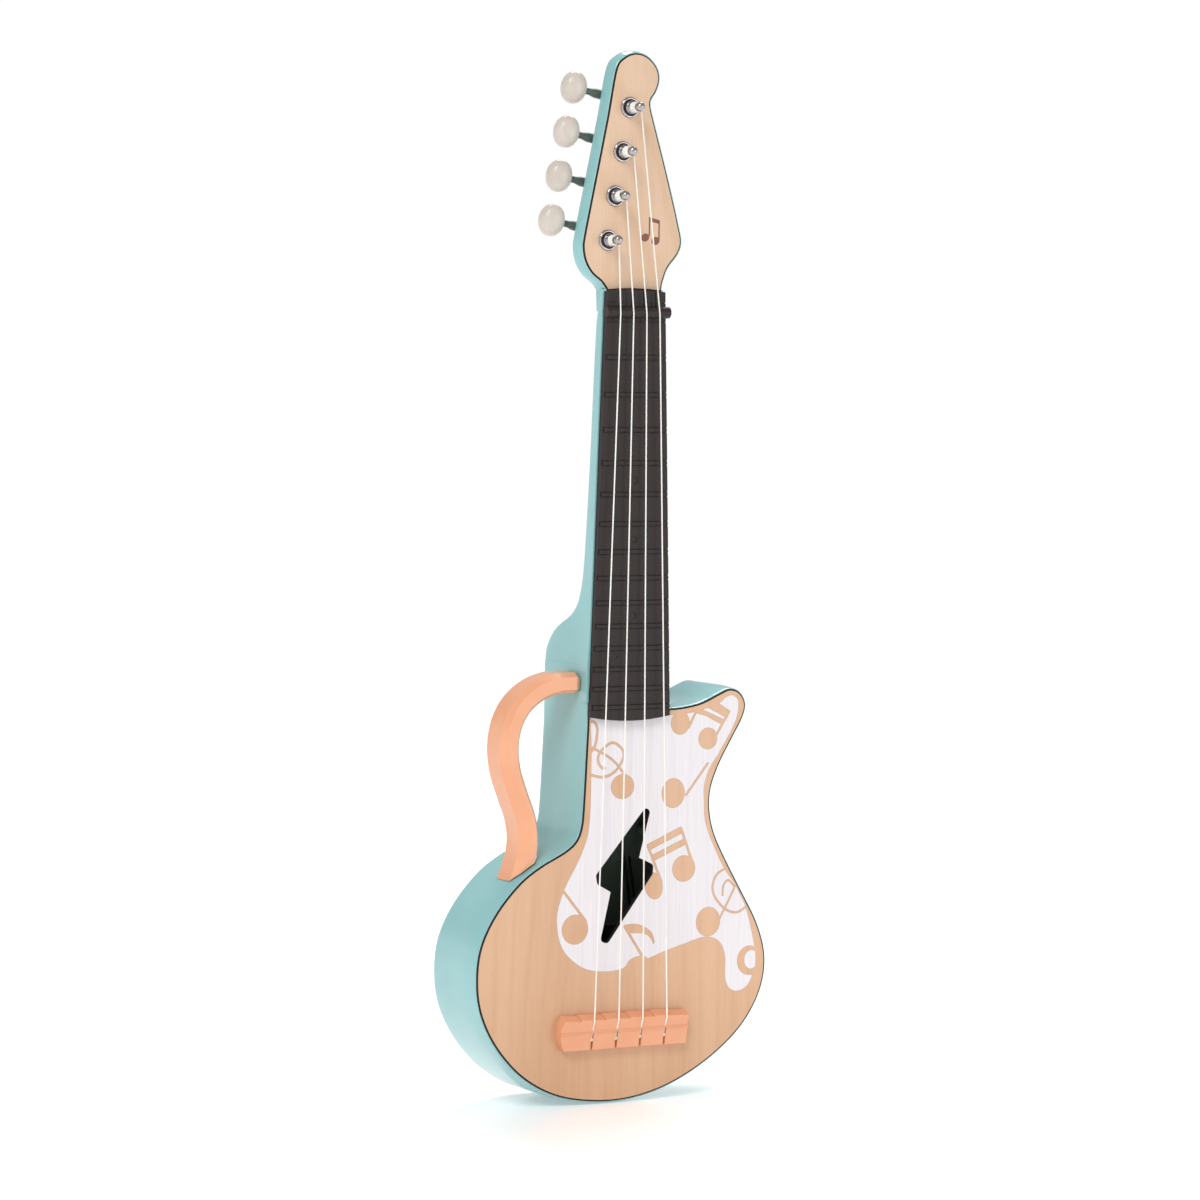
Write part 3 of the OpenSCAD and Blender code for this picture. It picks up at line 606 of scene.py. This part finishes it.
def plate(name, outer, holes, regions, mats, y_front, y_back, pick, chamfer=0.8):
    """A flat plate with a dark border: the burnt cut edge, widened on the front with painted shade of the gap
    round the plate. The outlines in regions divide its front, and pick gives the number of the material at a
    point."""
    mats = mats + [burnt_edge_and_gap_shade]
    inner = offset(outer, -chamfer)
    hole_rings = [offset(h, HOLE_BORDER) for h in holes]
    verts, edges = [], []
    for loop in [inner] + hole_rings + regions:
        s = len(verts)
        verts += [Vector(p) for p in loop]
        edges += [(s + i, s + (i + 1) % len(loop)) for i in range(len(loop))]
    vs, _, fs, _, _, _ = delaunay_2d_cdt(verts, edges, [], 0, 1e-4)
    points = [(v.x, y_front, v.y) for v in vs]
    faces, marks = [], []
    for f in fs:
        c = (sum(vs[i].x for i in f) / len(f), sum(vs[i].y for i in f) / len(f))
        if not inside(c, inner) or in_any(c, hole_rings):
            continue
        a = area([(vs[i].x, vs[i].y) for i in f])
        faces.append(tuple(f) if a > 0 else tuple(f)[::-1])
        marks.append(pick(c))
    # the dark border and the cut edges: burnt edge, with painted shade of the gap
    for loop, ring, sign in [(outer, inner, 1)] + [(h, r, -1) for h, r in zip(holes, hole_rings)]:
        n, s = len(loop), len(points)
        points += [(x, y_front, z) for x, z in ring]
        points += [(x, y_front + EDGE_DROP, z) for x, z in loop]
        points += [(x, y_back, z) for x, z in loop]
        for i in range(n):
            j = (i + 1) % n
            for k in (0, n):
                q = (s + k + i, s + k + n + i, s + k + n + j, s + k + j)
                faces.append(q if sign > 0 else q[::-1])
                marks.append(len(mats) - 1)
    # the back
    s = len(points)
    bv, be = [], []
    for loop in [outer] + holes:
        t = len(bv)
        bv += [Vector(p) for p in loop]
        be += [(t + i, t + (i + 1) % len(loop)) for i in range(len(loop))]
    vs2, _, fs2, _, _, _ = delaunay_2d_cdt(bv, be, [], 0, 1e-4)
    points += [(v.x, y_back, v.y) for v in vs2]
    for f in fs2:
        c = (sum(vs2[i].x for i in f) / len(f), sum(vs2[i].y for i in f) / len(f))
        if not inside(c, outer) or in_any(c, holes):
            continue
        a = area([(vs2[i].x, vs2[i].y) for i in f])
        faces.append(tuple(s + i for i in (f if a < 0 else list(f)[::-1])))
        marks.append(0)
    ob = build(name, points, faces, mats, face_mats=marks, smooth=False)
    edit(ob.data, merge=1e-6)
    shade(ob.data, 30)
    return ob


PRINT = [(-22, 262), (-26.5, 245.5), (-26, 226), (-26, 208), (-26, 193), (-26.5, 182), (-28, 170.5),
         (-31.5, 161), (-35.5, 153), (-44, 138), (-49, 122.5), (-48, 108), (-43.5, 98),
         (-35.5, 90.5), (-27, 86), (-15.5, 84), (-4, 84.5), (1, 86.5), (3, 89.5), (7.5, 92),
         (12.5, 92.5), (15, 92), (17, 90.5), (29, 94.5), (45, 99), (56.5, 102), (64, 101.5),
         (69, 99), (72, 95), (74, 88.5), (74, 79.5), (74.5, 73.5), (77, 68.5), (82, 66),
         (88, 67), (92.5, 71), (95.5, 77), (97, 81), (97, 88.5), (95.5, 97.5), (91.5, 113),
         (88, 122.5), (79.5, 137), (72.5, 146), (63, 164), (58, 177), (57, 190),
         (57, 200), (60.5, 210), (66.5, 218.5), (72, 227), (77.5, 236), (81, 244.5),
         (81.5, 252.5), (79.5, 255.5), (76, 257), (71.5, 255.5), (68, 252.5), (63, 250.5),
         (51, 247.5), (42.5, 246), (31, 245.5), (22, 246), (22, 262)]
print_line = refine(PRINT, 3, corner=50)
NOTES = [
    ellipse(-3, 201, 8.5, 8), ellipse(34, 195.5, 8.5, 9.5), ellipse(38.5, 240, 7, 7.5),
    ellipse(59, 229.5, 7, 7), ellipse(42.5, 147, 8.5, 8.5), ellipse(20.5, 137, 6.5, 9, turn=0.3),
    ellipse(-36, 112, 9.5, 9.5), ellipse(61, 112, 9, 9.5),
    stroke([(-2, 209), (-11, 218.5), (-25.5, 226.5)], 1.7),
    stroke([(-15.5, 213.5), (-17.5, 213), (-20.5, 216.5), (-20.5, 221.5), (-16, 226.5), (-10, 229),
            (-3.5, 224.5), (-3, 218.5), (-9, 210.5), (-17.5, 207.5), (-27, 209.5)], 1.8),
    stroke([(-27, 242.5), (-24, 242.5), (-22, 239), (-22, 234), (-23.5, 227), (-27, 223)], 1.9),
    stroke([(43, 193.5), (59.5, 214)], 1.7), stroke([(44.5, 236.5), (51, 249)], 1.7),
    stroke([(64.5, 230.5), (74, 245.5)], 1.7),
    [(49.5, 249.5), (55.5, 248), (71.5, 241), (69, 238), (57, 244), (49.5, 246)],
    [(60.5, 252.5), (65, 253), (75.5, 246.5), (73, 242), (58, 249.5)],
    [(15, 163.5), (40, 174), (42, 170), (17, 159.5)],
    [(18.5, 156.5), (43, 166.5), (44.5, 162.5), (21, 153)],
    stroke([(40, 173), (50, 147.5)], 1.8), stroke([(16, 162.5), (26.5, 138.5)], 1.8),
    stroke([(69.5, 113.5), (79.5, 131.5), (79.5, 134.5), (75.5, 138), (72, 134.5), (71.5, 128)], 1.5),
    stroke([(75.5, 146.5), (67, 142), (64, 133.5), (67, 126), (74.5, 119), (82.5, 117),
            (89.5, 120.5)], 1.6),
    smooth_line([(-1, 113), (5, 113.5), (11.5, 112.5), (19.5, 107.5), (22, 101)], 4)
    + smooth_line([(21, 99.5), (18, 104.5), (13, 107), (5.5, 107.5), (1.5, 108.5)], 4),
    stroke([(-0.5, 112.5), (13, 92.5)], 1.8), stroke([(-28, 116.5), (-44.5, 136.5)], 1.8),
    stroke([(91.5, 78), (97, 75)], 1.6),
]
RING = (ellipse(92, 85.5, 9, 9.5), ellipse(93.5, 86, 5, 6))


def thinner(loop, d=0.34):
    """The loop moved in by d, whichever way it runs."""
    return offset(loop, -d if area(loop) > 0 else d)


INNER = [thinner(n) for n in NOTES]
print_inner = thinner(print_line, 0.3)
ring_inner = (thinner(RING[0]), thinner(RING[1], -0.34))


def printed(p):
    """The material at a point of the front: 0 is wood, 1 is white print, 2 is the thin line round it."""
    if not inside(p, print_line):
        return 0
    if in_any(p, NOTES):
        return 0 if in_any(p, INNER) else 2
    if inside(p, RING[0]) and not inside(p, RING[1]):
        return 0 if inside(p, ring_inner[0]) and not inside(p, ring_inner[1]) else 2
    return 1 if inside(p, print_inner) else 2


front = plate("soundboard_front", wood_line, [bolt_line], [print_line, print_inner] + NOTES + INNER
              + list(RING) + list(ring_inner), [plywood, white_ink, edge_ink], FY, SEAT, printed)
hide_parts("soundboard")

post_holes = veneer_loops[1:]
GLYPH = [
    ellipse(8, 546.5, 3, 2.5, turn=0.35), ellipse(15.5, 544.5, 3, 2.5, turn=0.35),
    stroke([(11, 547.5), (11, 559)], 1.0), stroke([(18, 545.5), (18, 557)], 1.0),
    [(10.5, 559.5), (18.5, 557.5), (18.5, 555), (10.5, 557)],
]
arched = [(x, z if z > low_z + 0.01 else 512.7 + 1.2 * (1 - (x / 20.8) ** 2)) for x, z in veneer_line]
head_front = plate("headstock_front", arched, post_holes, GLYPH, [plywood, brown_ink], FY, SEAT,
                   lambda p: 1 if in_any(p, GLYPH) else 0)
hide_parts("headstock_veneer")


# ---------------------------------------------------------------- moulded shell
DRAFT = [(RIM_W, 17), (2.05, 12), (1.75, 8), (1.4, 4.5), (1.1, 2), (0.95, 0.5), (0.65, 0)]


def profile(r, y_back, y_front, steps=8):
    """(outset from the wood line, depth), from the back face round an edge of radius r to the rim."""
    turns = [math.pi / 2 * i / steps for i in range(steps + 1)]
    out = [(RIM_W - r + r * math.sin(a), y_back - r + r * math.cos(a)) for a in turns]
    limit = y_back - r - y_front - 1
    return out + [(d, y_front + min(y, limit * y / DRAFT[0][1])) for d, y in DRAFT]


def shell_solid(name, line, levels):
    """A solid whose outline is the line moved out by each level's outset, at that level's depth."""
    loops = [[(x, y, z) for x, z in offset(line, d)] for d, y in levels]
    v, f = rings(loops)
    return plain(name, v, f)


def lookup(z, table):
    """Smooth value through a table of (z, value) that never overshoots it."""
    n = len(table)
    if z <= table[0][0]:
        return table[0][1]
    if z >= table[-1][0]:
        return table[-1][1]
    i = max(k for k in range(n - 1) if table[k][0] <= z)

    def slope(k):
        if k in (0, n - 1):
            return 0.0
        a = (table[k][1] - table[k - 1][1]) / (table[k][0] - table[k - 1][0])
        b = (table[k + 1][1] - table[k][1]) / (table[k + 1][0] - table[k][0])
        return 0.0 if a * b <= 0 else 2 * a * b / (a + b)

    h = table[i + 1][0] - table[i][0]
    t = (z - table[i][0]) / h
    a, b, sa, sb = table[i][1], table[i + 1][1], slope(i) * h, slope(i + 1) * h
    return (a * (2 * t ** 3 - 3 * t * t + 1) + sa * (t ** 3 - 2 * t * t + t)
            + b * (3 * t * t - 2 * t ** 3) + sb * (t ** 3 - t * t))


# the neck at some heights: its depth behind the wood, and its back corners' width and depth
DEPTH = [(255, 60), (284, 60), (291, 57), (297, 52), (302, 44), (307, 34), (312, 28), (318, 24.6),
         (332, 22.4), (345, 21.3), (394, 19.4), (488, 16.7), (502, 15), (514, 12.6)]
CORNER_X = [(255, 7), (291, 7), (302, 9), (312, 14), (332, 24), (345, 30), (514, 30)]
CORNER_Y = [(255, 7), (302, 7), (312, 9), (332, 12), (394, 12.4), (514, 11.2)]


def board_half(z):
    """Half the fretboard's width at height z."""
    return FOOT_HALF - (z - BOARD_FOOT) * (FOOT_HALF - HEAD_HALF) / (BOARD_HEAD - BOARD_FOOT)


def neck_loop(z):
    """The outline of the heel and neck at height z."""
    w = min(board_half(z) + lookup(z, [(270, 2.4), (300, 1.1)]), 29.9)
    back = FY + lookup(z, DEPTH)
    rx, ry = min(lookup(z, CORNER_X), w - 0.01), lookup(z, CORNER_Y)
    e = 0.5
    pts = [(-w + e, FY), (w - e, FY), (w - 0.15, FY + 0.15), (w, FY + e)]
    turns = [math.pi / 2 * i / 12 for i in range(13)]
    pts += [(w - rx + rx * math.cos(a), back - ry + ry * math.sin(a)) for a in turns]
    pts += [(rx - w - rx * math.sin(a), back - ry + ry * math.cos(a)) for a in turns]
    pts += [(-w, FY + e), (-w + 0.15, FY + 0.15)]
    return [(x, y, z) for x, y in pts]


neck_z = [255, 265, 270] + [276 + 2 * i for i in range(40)]
neck_z += [364 + 10 * i for i in range(13)] + [492 + 2 * i for i in range(11)] + [513.6]
v, f = rings([neck_loop(z) for z in neck_z])
shell = shell_solid("moulded_shell", shell_line, profile(7, BACK, RIM_Y))
boolean(shell, plain("neck", v, f), "UNION")
boolean(shell, shell_solid("head", head_line, profile(3, HEAD_Y, RIM_Y)), "UNION")

v, f = prism(offset(shell_line, RIM_W - WALL), SEAT + 2.4, BACK - WALL)
boolean(shell, plain("cavity", v, f), "DIFFERENCE")
v, f = prism(offset(clear(wood_line, 4.6), -4.2), AIR, SEAT + 3)
boolean(shell, plain("opening", v, f), "DIFFERENCE")
v, f = prism(offset(clear(wood_line, 0.6), SEAT_GAP), AIR, SEAT)
boolean(shell, plain("seat", v, f), "DIFFERENCE")
head_seat = [(x, z if z > low_z + 0.01 else 511.5) for x, z in veneer_line]
v, f = prism(offset(head_seat, SEAT_GAP), AIR, SEAT)
boolean(shell, plain("head_seat", v, f), "DIFFERENCE")


def block(x0, x1, z0, z1, y0, y1, r=0.0):
    """A box, its upright corners rounded to radius r."""
    if r:
        loop = []
        corners = [(x1 - r, z1 - r), (x0 + r, z1 - r), (x0 + r, z0 + r), (x1 - r, z0 + r)]
        for quarter, (cx, cz) in enumerate(corners):
            for i in range(5):
                a = math.pi / 2 * (quarter + i / 4)
                loop.append((cx + r * math.cos(a), cz + r * math.sin(a)))
    else:
        loop = [(x0, z0), (x1, z0), (x1, z1), (x0, z1)]
    return prism(loop, y0, y1)


# openings in the flat back: battery bay, switch, two buttons and the holes in front of the speaker
BAY, PCB, SPK = (36.0, 84.0), (12.0, 164.0), (-42.0, 84.0)
GRILLE_STEP, GRILLE_R, BUTTON_R = 7, 1.6, 6
through = (BACK - WALL - 1, BACK + 1)
cuts = [block(BAY[0] - 30, BAY[0] + 30, BAY[1] - 19, BAY[1] + 19, *through),
        block(PCB[0] - 29, PCB[0] - 13, PCB[1] - 3, PCB[1] + 3, *through, 0.8)]
for x in (4, 21):
    cuts.append(prism(ellipse(PCB[0] + x, PCB[1], BUTTON_R, BUTTON_R, 48), *through))
for ring in range(3):
    count = max(1, 6 * ring)
    for i in range(count):
        a = 2 * math.pi * i / count
        x, z = SPK[0] + GRILLE_STEP * ring * math.cos(a), SPK[1] + GRILLE_STEP * ring * math.sin(a)
        cuts.append(prism(ellipse(x, z, GRILLE_R, GRILLE_R, 20), *through))
boolean(shell, plain("back_cuts", *joined(cuts)), "DIFFERENCE")
paint(shell, teal, teal_shaded_inside)
# faces inside the hollow take the darker teal: painted shade
hollow = offset(shell_line, RIM_W - WALL + 0.05)
for p in shell.data.polygons:
    c = p.center / MM
    within = SEAT - 0.5 < c.y < BACK - WALL + 0.05 and c.z < BODY_TOP and inside((c.x, c.z), hollow)
    p.material_index = 1 if within else 0
shade(shell.data, 30)
modifier(shell, "WEIGHTED_NORMAL", keep_sharp=True, mode="FACE_AREA_WITH_ANGLE", weight=60)
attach(shell, BODY)
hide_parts("back_shell")

# ---------------------------------------------------------------- carry handle
GRIP = [(-33.4, 266.9), (-36, 266.9), (-47, 266.2), (-59.8, 261.6), (-70.6, 252.9), (-77.2, 241.2),
        (-79.6, 227), (-77.8, 212), (-72.6, 197), (-67.2, 183), (-65, 170.5), (-65.8, 159.5), (-69, 149),
        (-72.6, 140)]
LIP = [(-262, 3.6), (-232, 3.2), (-200, -1.0), (-180, -2.4), (-165, 0.5), (-150, 2.6)]
T, D = 6.5, 12.5                             # half the handle's thickness and half its depth
HANDLE_Y = -4.0                              # middle of the handle, front to back
grip = smooth_line(GRIP, 8)
loops = []
for k, p in enumerate(grip):
    a, b = Vector(grip[max(k - 1, 0)]), Vector(grip[min(k + 1, len(grip) - 1)])
    t = (b - a).normalized()
    n = Vector((t.y, -t.x))
    lip = lookup(-p[1], LIP)
    section = [(T, -8.3), (lip, -D), (-4.3, -D), (-T, -9.6), (-T, 9.6), (-4.3, D), (3.6, D), (T, 8.3)]
    if k == 0:
        # the chamfered end that meets the heel
        loops.append([(-30.6, HANDLE_Y + w * 0.86, p[1] - 0.2 + 0.80 * u) for u, w in section])
    loops.append([(p[0] + n.x * u, HANDLE_Y + w, p[1] + n.y * u) for u, w in section])
v, f = rings(loops)
handle = plain("moulded_handle", v, f)
v, f = prism(offset(shell_line, RIM_W + 0.4), AIR, BACK + 5)
boolean(handle, plain("body_gap", v, f), "DIFFERENCE")
paint(handle, peach)
shade(handle.data, 60)
soften(handle, 0.55, 3, 14)
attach(handle, BODY)
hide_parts("carry_handle")

# ---------------------------------------------------------------- bridge with a stepped crest
Z0 = SADDLE_Z
BRIDGE_AIR = FY - 14                         # a plane in front of the bridge
STEPS = [-52, -35, -17.5, 0, 17.5, 52]       # where each slope of the crest begins
STEP_DROP = 0.95                             # how far a slope falls off
BRIDGE_FRONT = [(FY - 8.7, Z0 - 2.2), (FY - 7.8, Z0 - 4.6), (FY - 7.6, Z0 - 7), (FY - 8.4, Z0 - 8),
                (FY - 7.2, Z0 - 9.4), (FY - 5.6, Z0 - 19.4), (FY, Z0 - 19.4)]
loops = []
for xa, xb in zip(STEPS, STEPS[1:]):
    for k in range(9):
        x = xa + 0.04 + (xb - xa - 0.08) * k / 8
        h = STEP_DROP * min((x - xa) / GAP_BRIDGE, 1) ** 1.6
        top = [(FY, Z0 + 2.9 - 0.9 * h), (FY - 3 + 0.424 * h, Z0 + 2.9 - 0.906 * h),
               (FY - 9.2 + 0.424 * h, Z0 - 0.906 * h)]
        loops.append([(x, y, z) for y, z in top + BRIDGE_FRONT])
v, f = rings(loops)
bridge = plain("bridge_block", v, f)
turns = [math.pi * (i / 48 - 0.5) for i in range(48, -1, -1)]
round_end = [(-(30.2 + 18.9 * math.cos(a)), Z0 - 8.6 + 18.9 * math.sin(a)) for a in turns]
straight_end = [(42.0, Z0 - 22), (42.6, Z0 - 21), (42.6, Z0 + 4), (42.0, Z0 + 5)]
v, f = prism(straight_end + round_end, BRIDGE_AIR, FY)
boolean(bridge, plain("bridge_outline", v, f), "INTERSECT")
cuts = []
for place in (-1.5, -0.5, 0.5, 1.5):
    # the slot that holds a knot, and the notch in the crest over it
    x = place * GAP_BRIDGE
    cuts.append(block(x - 0.8, x + 0.8, Z0 - 22, Z0 - 8.5, BRIDGE_AIR, FY - 2.4))
    cuts.append(block(x - 0.6, x + 0.6, Z0 - 8.6, Z0 + 4, BRIDGE_AIR, FY - 8.75))
boolean(bridge, plain("bridge_slots", *joined(cuts)), "DIFFERENCE")
paint(bridge, peach)
shade(bridge.data, 30)
soften(bridge, 0.28, 2, 16)
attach(bridge, BODY)
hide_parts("bridge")

# ---------------------------------------------------------------- fretboard with a groove beside each fret
board = bpy.data.objects.new("fretted_board", nodes["fretboard"].data.copy())
bpy.context.scene.collection.objects.link(board)
edit(board.data, merge=2e-6)


GROOVE = 0.7                                 # depth of a groove
GROOVE_NEAR, GROOVE_FAR = 1.12, 1.75         # its two edges, from the middle of the fret


def groove(z0, z1):
    """A slice across the board that follows its crown."""
    n, r = 16, BOARD_CROWN - GROOVE
    xs = [-30 + 60 * i / n for i in range(n + 1)]
    line = [(x, FY - BOARD_TOP + BOARD_CROWN - math.sqrt(r * r - x * x)) for x in xs]
    loop = line + [(30, AIR), (-30, AIR)]
    return rings([[(x, y, z) for x, y in loop] for z in (z0, z1)])


cuts = []
for k in range(1, FRETS + 1):
    z = NUT_Z - (NUT_Z - SADDLE_Z) * (1 - 2 ** (-k / 12))
    cuts += [groove(z + GROOVE_NEAR, z + GROOVE_FAR), groove(z - GROOVE_FAR, z - GROOVE_NEAR)]
# one line on each side of the nut
cuts += [groove(493.2, 493.9), groove(505.3, 506.0)]
boolean(board, plain("grooves", *joined(cuts)), "DIFFERENCE")
paint(board, dark)
drop_normals(board.data)
shade(board.data, 30)
soften(board, 0.18, 2, 32)
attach(board, BODY)
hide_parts("fretboard")

# ---------------------------------------------------------------- windings on the string posts
TURNS, TURN_STEPS = 5.4, 26                  # turns of string, and steps in one turn
WIRE_R, POST_R = 0.44, 2.42
WOUND_FROM, WOUND_TO = -32.7, -27.2          # the winding's two ends, front to back


def winding(cx, cz, start):
    """The skin of a string wound round the post at (cx, cz), from the angle start on."""
    total = int(TURNS * TURN_STEPS)
    loops = []
    for k in range(total + 1):
        a = 2 * math.pi * k / TURN_STEPS + start
        y = WOUND_FROM + (WOUND_TO - WOUND_FROM) * k / total
        # each turn steps over the last one, and both ends thin out
        r = POST_R + WIRE_R + (0.14 if k % TURN_STEPS < 2 else 0)
        thick = WIRE_R * (min(1, k / 4, (total - k) / 4) * 0.7 + 0.3)
        c = Vector((cx + r * math.cos(a), y, cz + r * math.sin(a)))
        out = Vector((math.cos(a), 0, math.sin(a)))
        round_wire = [2 * math.pi * j / 8 for j in range(8)]
        loops.append([tuple(c + out * thick * math.cos(b) + Vector((0, thick * math.sin(b), 0)))
                      for b in round_wire])
    return rings(loops)


def middle(node):
    """The middle of a node's box in millimetres."""
    lo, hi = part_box(node)
    return (lo + hi) / 2 / MM


for i in range(1, 5):
    post = middle(f"string_wrap_{i}")
    v, f = winding(post.x, post.z, i)
    coil = build(f"string_winding_{i}", v, f, [nylon], body=f"post_{i}", angle=80)
    edit(coil.data, outward=True)
    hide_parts(f"string_wrap_{i}")


# ---------------------------------------------------------------- tuning knobs
def lens(centre, along, across, sizes, around=72, up=28, square=0.8):
    """A button with soft edges: sizes are its half lengths along the shaft, across it and front to back."""
    a, b, c = sizes
    points, quads = [], []
    for j in range(up + 1):
        t = math.pi * (j / up - 0.5)
        wide = max(math.cos(t), 0) ** square
        deep = math.copysign(abs(math.sin(t)) ** square, t)
        for k in range(around):
            s = 2 * math.pi * k / around
            points.append(centre + along * (a * wide * math.cos(s)) + across * (b * wide * math.sin(s))
                          + Vector((0, c * deep, 0)))
    for j in range(up):
        for k in range(around):
            n = (k + 1) % around
            quads.append((j * around + k, j * around + n, (j + 1) * around + n, (j + 1) * around + k))
    return points, quads


shafts = {j["name"]: Vector(j["axis"]) for j in frame["record"]["behaviour"]["joints"]}
KNOB = (8.3, 10.3, 6.75)
for i in range(1, 5):
    along = shafts[f"peg_{i}_turn"].normalized()
    across = Vector((-along.z, 0, along.x))
    v, f = lens(middle(f"knob_{i}"), along, across, KNOB)
    button = build(f"knob_button_{i}", v, f, [cream], body=f"peg_{i}", angle=80)
    edit(button.data, merge=1e-7, outward=True)
    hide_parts(f"knob_{i}")

# ---------------------------------------------------------------- bushings round the string posts
# each point: radius, depth from the headstock's back, and 1 where the band from there on is black: painted
# contact shadow at the outer edge, painted shade and dark reflection in the groove
COLLAR = [(2.95, -5, 0), (4.4, -5, 0), (4.4, -12.5, 0), (6.5, -12.5, 1), (6.6, -12.7, 0), (6.6, -13.1, 0),
          (6.4, -13.6, 0), (5.8, -13.9, 0), (5.2, -13.8, 0), (4.9, -13.3, 1), (4.3, -13.3, 1),
          (4.2, -14.4, 0), (4.1, -15.0, 0), (3.8, -15.5, 0), (3.4, -15.8, 0), (2.95, -15.8, 0)]
verts, faces, marks = [], [], []
n, m = 56, len(COLLAR)
turns = [2 * math.pi * k / n for k in range(n)]
for i in range(1, 5):
    post = middle(f"string_wrap_{i}")
    s = len(verts)
    for r, y, _ in COLLAR:
        verts += [(post.x + r * math.cos(a), HEAD_Y + y, post.z + r * math.sin(a)) for a in turns]
    for a in range(m):
        for k in range(n):
            b = (a + 1) % m
            faces.append((s + a * n + k, s + b * n + k, s + b * n + (k + 1) % n, s + a * n + (k + 1) % n))
            marks.append(COLLAR[a][2])
# the black bands on the chrome are painted shadow and painted dark reflection
bushings = build("bushing_rings", verts, faces, [chrome, black], face_mats=marks, angle=50)
edit(bushings.data, outward=True)
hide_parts("post_bushings")

# ---------------------------------------------------------------- floor, light and camera
FLOOR_X, FLOOR_NEAR, FLOOR_FAR = 9000, -7000, 14000
FLOOR_GLOW = 0.25                            # keeps the floor as white as the room behind it
white, nt, b = material("floor")
cloudy = ramp(nt, noise(nt, 3.0, detail=2), [(0.3, grey(0.90)), (0.7, grey(0.93))])
nt.links.new(cloudy, b.inputs["Base Color"])
b.inputs["Roughness"].default_value = 0.28
b.inputs["Emission Color"].default_value = grey(1.0)
b.inputs["Emission Strength"].default_value = FLOOR_GLOW
corners = [(-FLOOR_X, FLOOR_NEAR, 0), (FLOOR_X, FLOOR_NEAR, 0),
           (FLOOR_X, FLOOR_FAR, 0), (-FLOOR_X, FLOOR_FAR, 0)]
floor = build("studio_floor", corners, [(0, 1, 2, 3)], [white], body=None)

# a pale room: bright all round the horizon, dimmer overhead
ROOM = 1.02
SKY = 0.48                                   # brightness overhead, as a share of the horizon's
SUN_POWER, SUN_WAY = 1.4, (0.52, 0.52, -0.68)
world = bpy.data.worlds.new("studio")
bpy.context.scene.world = world
world.use_nodes = True
nt = world.node_tree
tc = put(nt, "ShaderNodeTexCoord")
split = put(nt, "ShaderNodeSeparateXYZ")
nt.links.new(tc.outputs["Generated"], split.inputs[0])
up_down = math_node(nt, "ADD", math_node(nt, "MULTIPLY", split.outputs["Z"], 0.5), 0.5)
sky = ramp(nt, up_down, [(0.38, grey(1.0)), (0.55, grey(1.0)), (0.64, grey(SKY)), (1.0, grey(SKY))])
nt.links.new(sky, nt.nodes["Background"].inputs[0])
nt.nodes["Background"].inputs[1].default_value = ROOM
sun = bpy.data.lights.new("sun", "SUN")
sun.energy, sun.angle = SUN_POWER, math.radians(24)
sun_ob = bpy.data.objects.new("sun", sun)
bpy.context.scene.collection.objects.link(sun_ob)
sun_ob.rotation_euler = Vector(SUN_WAY).to_track_quat("-Z", "Y").to_euler()


def softbox(name, at, size, power, target=(0, 0, 0.33)):
    """A rectangular light at a place in metres, turned to the target."""
    light = bpy.data.lights.new(name, "AREA")
    light.shape = "RECTANGLE"
    light.size, light.size_y = size
    light.energy = power
    ob = bpy.data.objects.new(name, light)
    bpy.context.scene.collection.objects.link(ob)
    ob.visible_camera = False
    ob.location = at
    ob.rotation_euler = (Vector(target) - Vector(at)).to_track_quat("-Z", "Y").to_euler()


softbox("front", (1.3, -2.4, 0.62), (0.8, 1.1), 7.5)
softbox("left", (-2.2, -0.9, 1.0), (0.7, 1.4), 4)
softbox("over", (0.9, 1.2, 2.4), (1.4, 1.4), 44)

CAMERA_AT = (-1.37904, -2.45083, 0.47830)    # metres
LENS, SENSOR = 133.33, 36.0
cam_data = bpy.data.cameras.new("camera")
cam = bpy.data.objects.new("camera", cam_data)
bpy.context.scene.collection.objects.link(cam)
bpy.context.scene.camera = cam
cam_data.lens, cam_data.sensor_width = LENS, SENSOR
cam_data.clip_start, cam_data.clip_end = 0.05, 60
azimuth, pitch, roll = math.radians(-29.21), math.radians(3.273), math.radians(0.747)
fwd = Vector((-math.sin(azimuth) * math.cos(pitch), math.cos(azimuth) * math.cos(pitch), -math.sin(pitch)))
right = fwd.cross(Vector((0, 0, 1))).normalized()
up = right.cross(fwd)
rolled_right = right * math.cos(roll) + up * math.sin(roll)
rolled_up = up * math.cos(roll) - right * math.sin(roll)
columns = zip(rolled_right, rolled_up, -fwd, CAMERA_AT)
cam.matrix_world = Matrix([tuple(row) for row in columns] + [(0, 0, 0, 1)])

bpy.context.scene.view_settings.view_transform = "Standard"
bpy.context.scene.view_settings.look = "None"
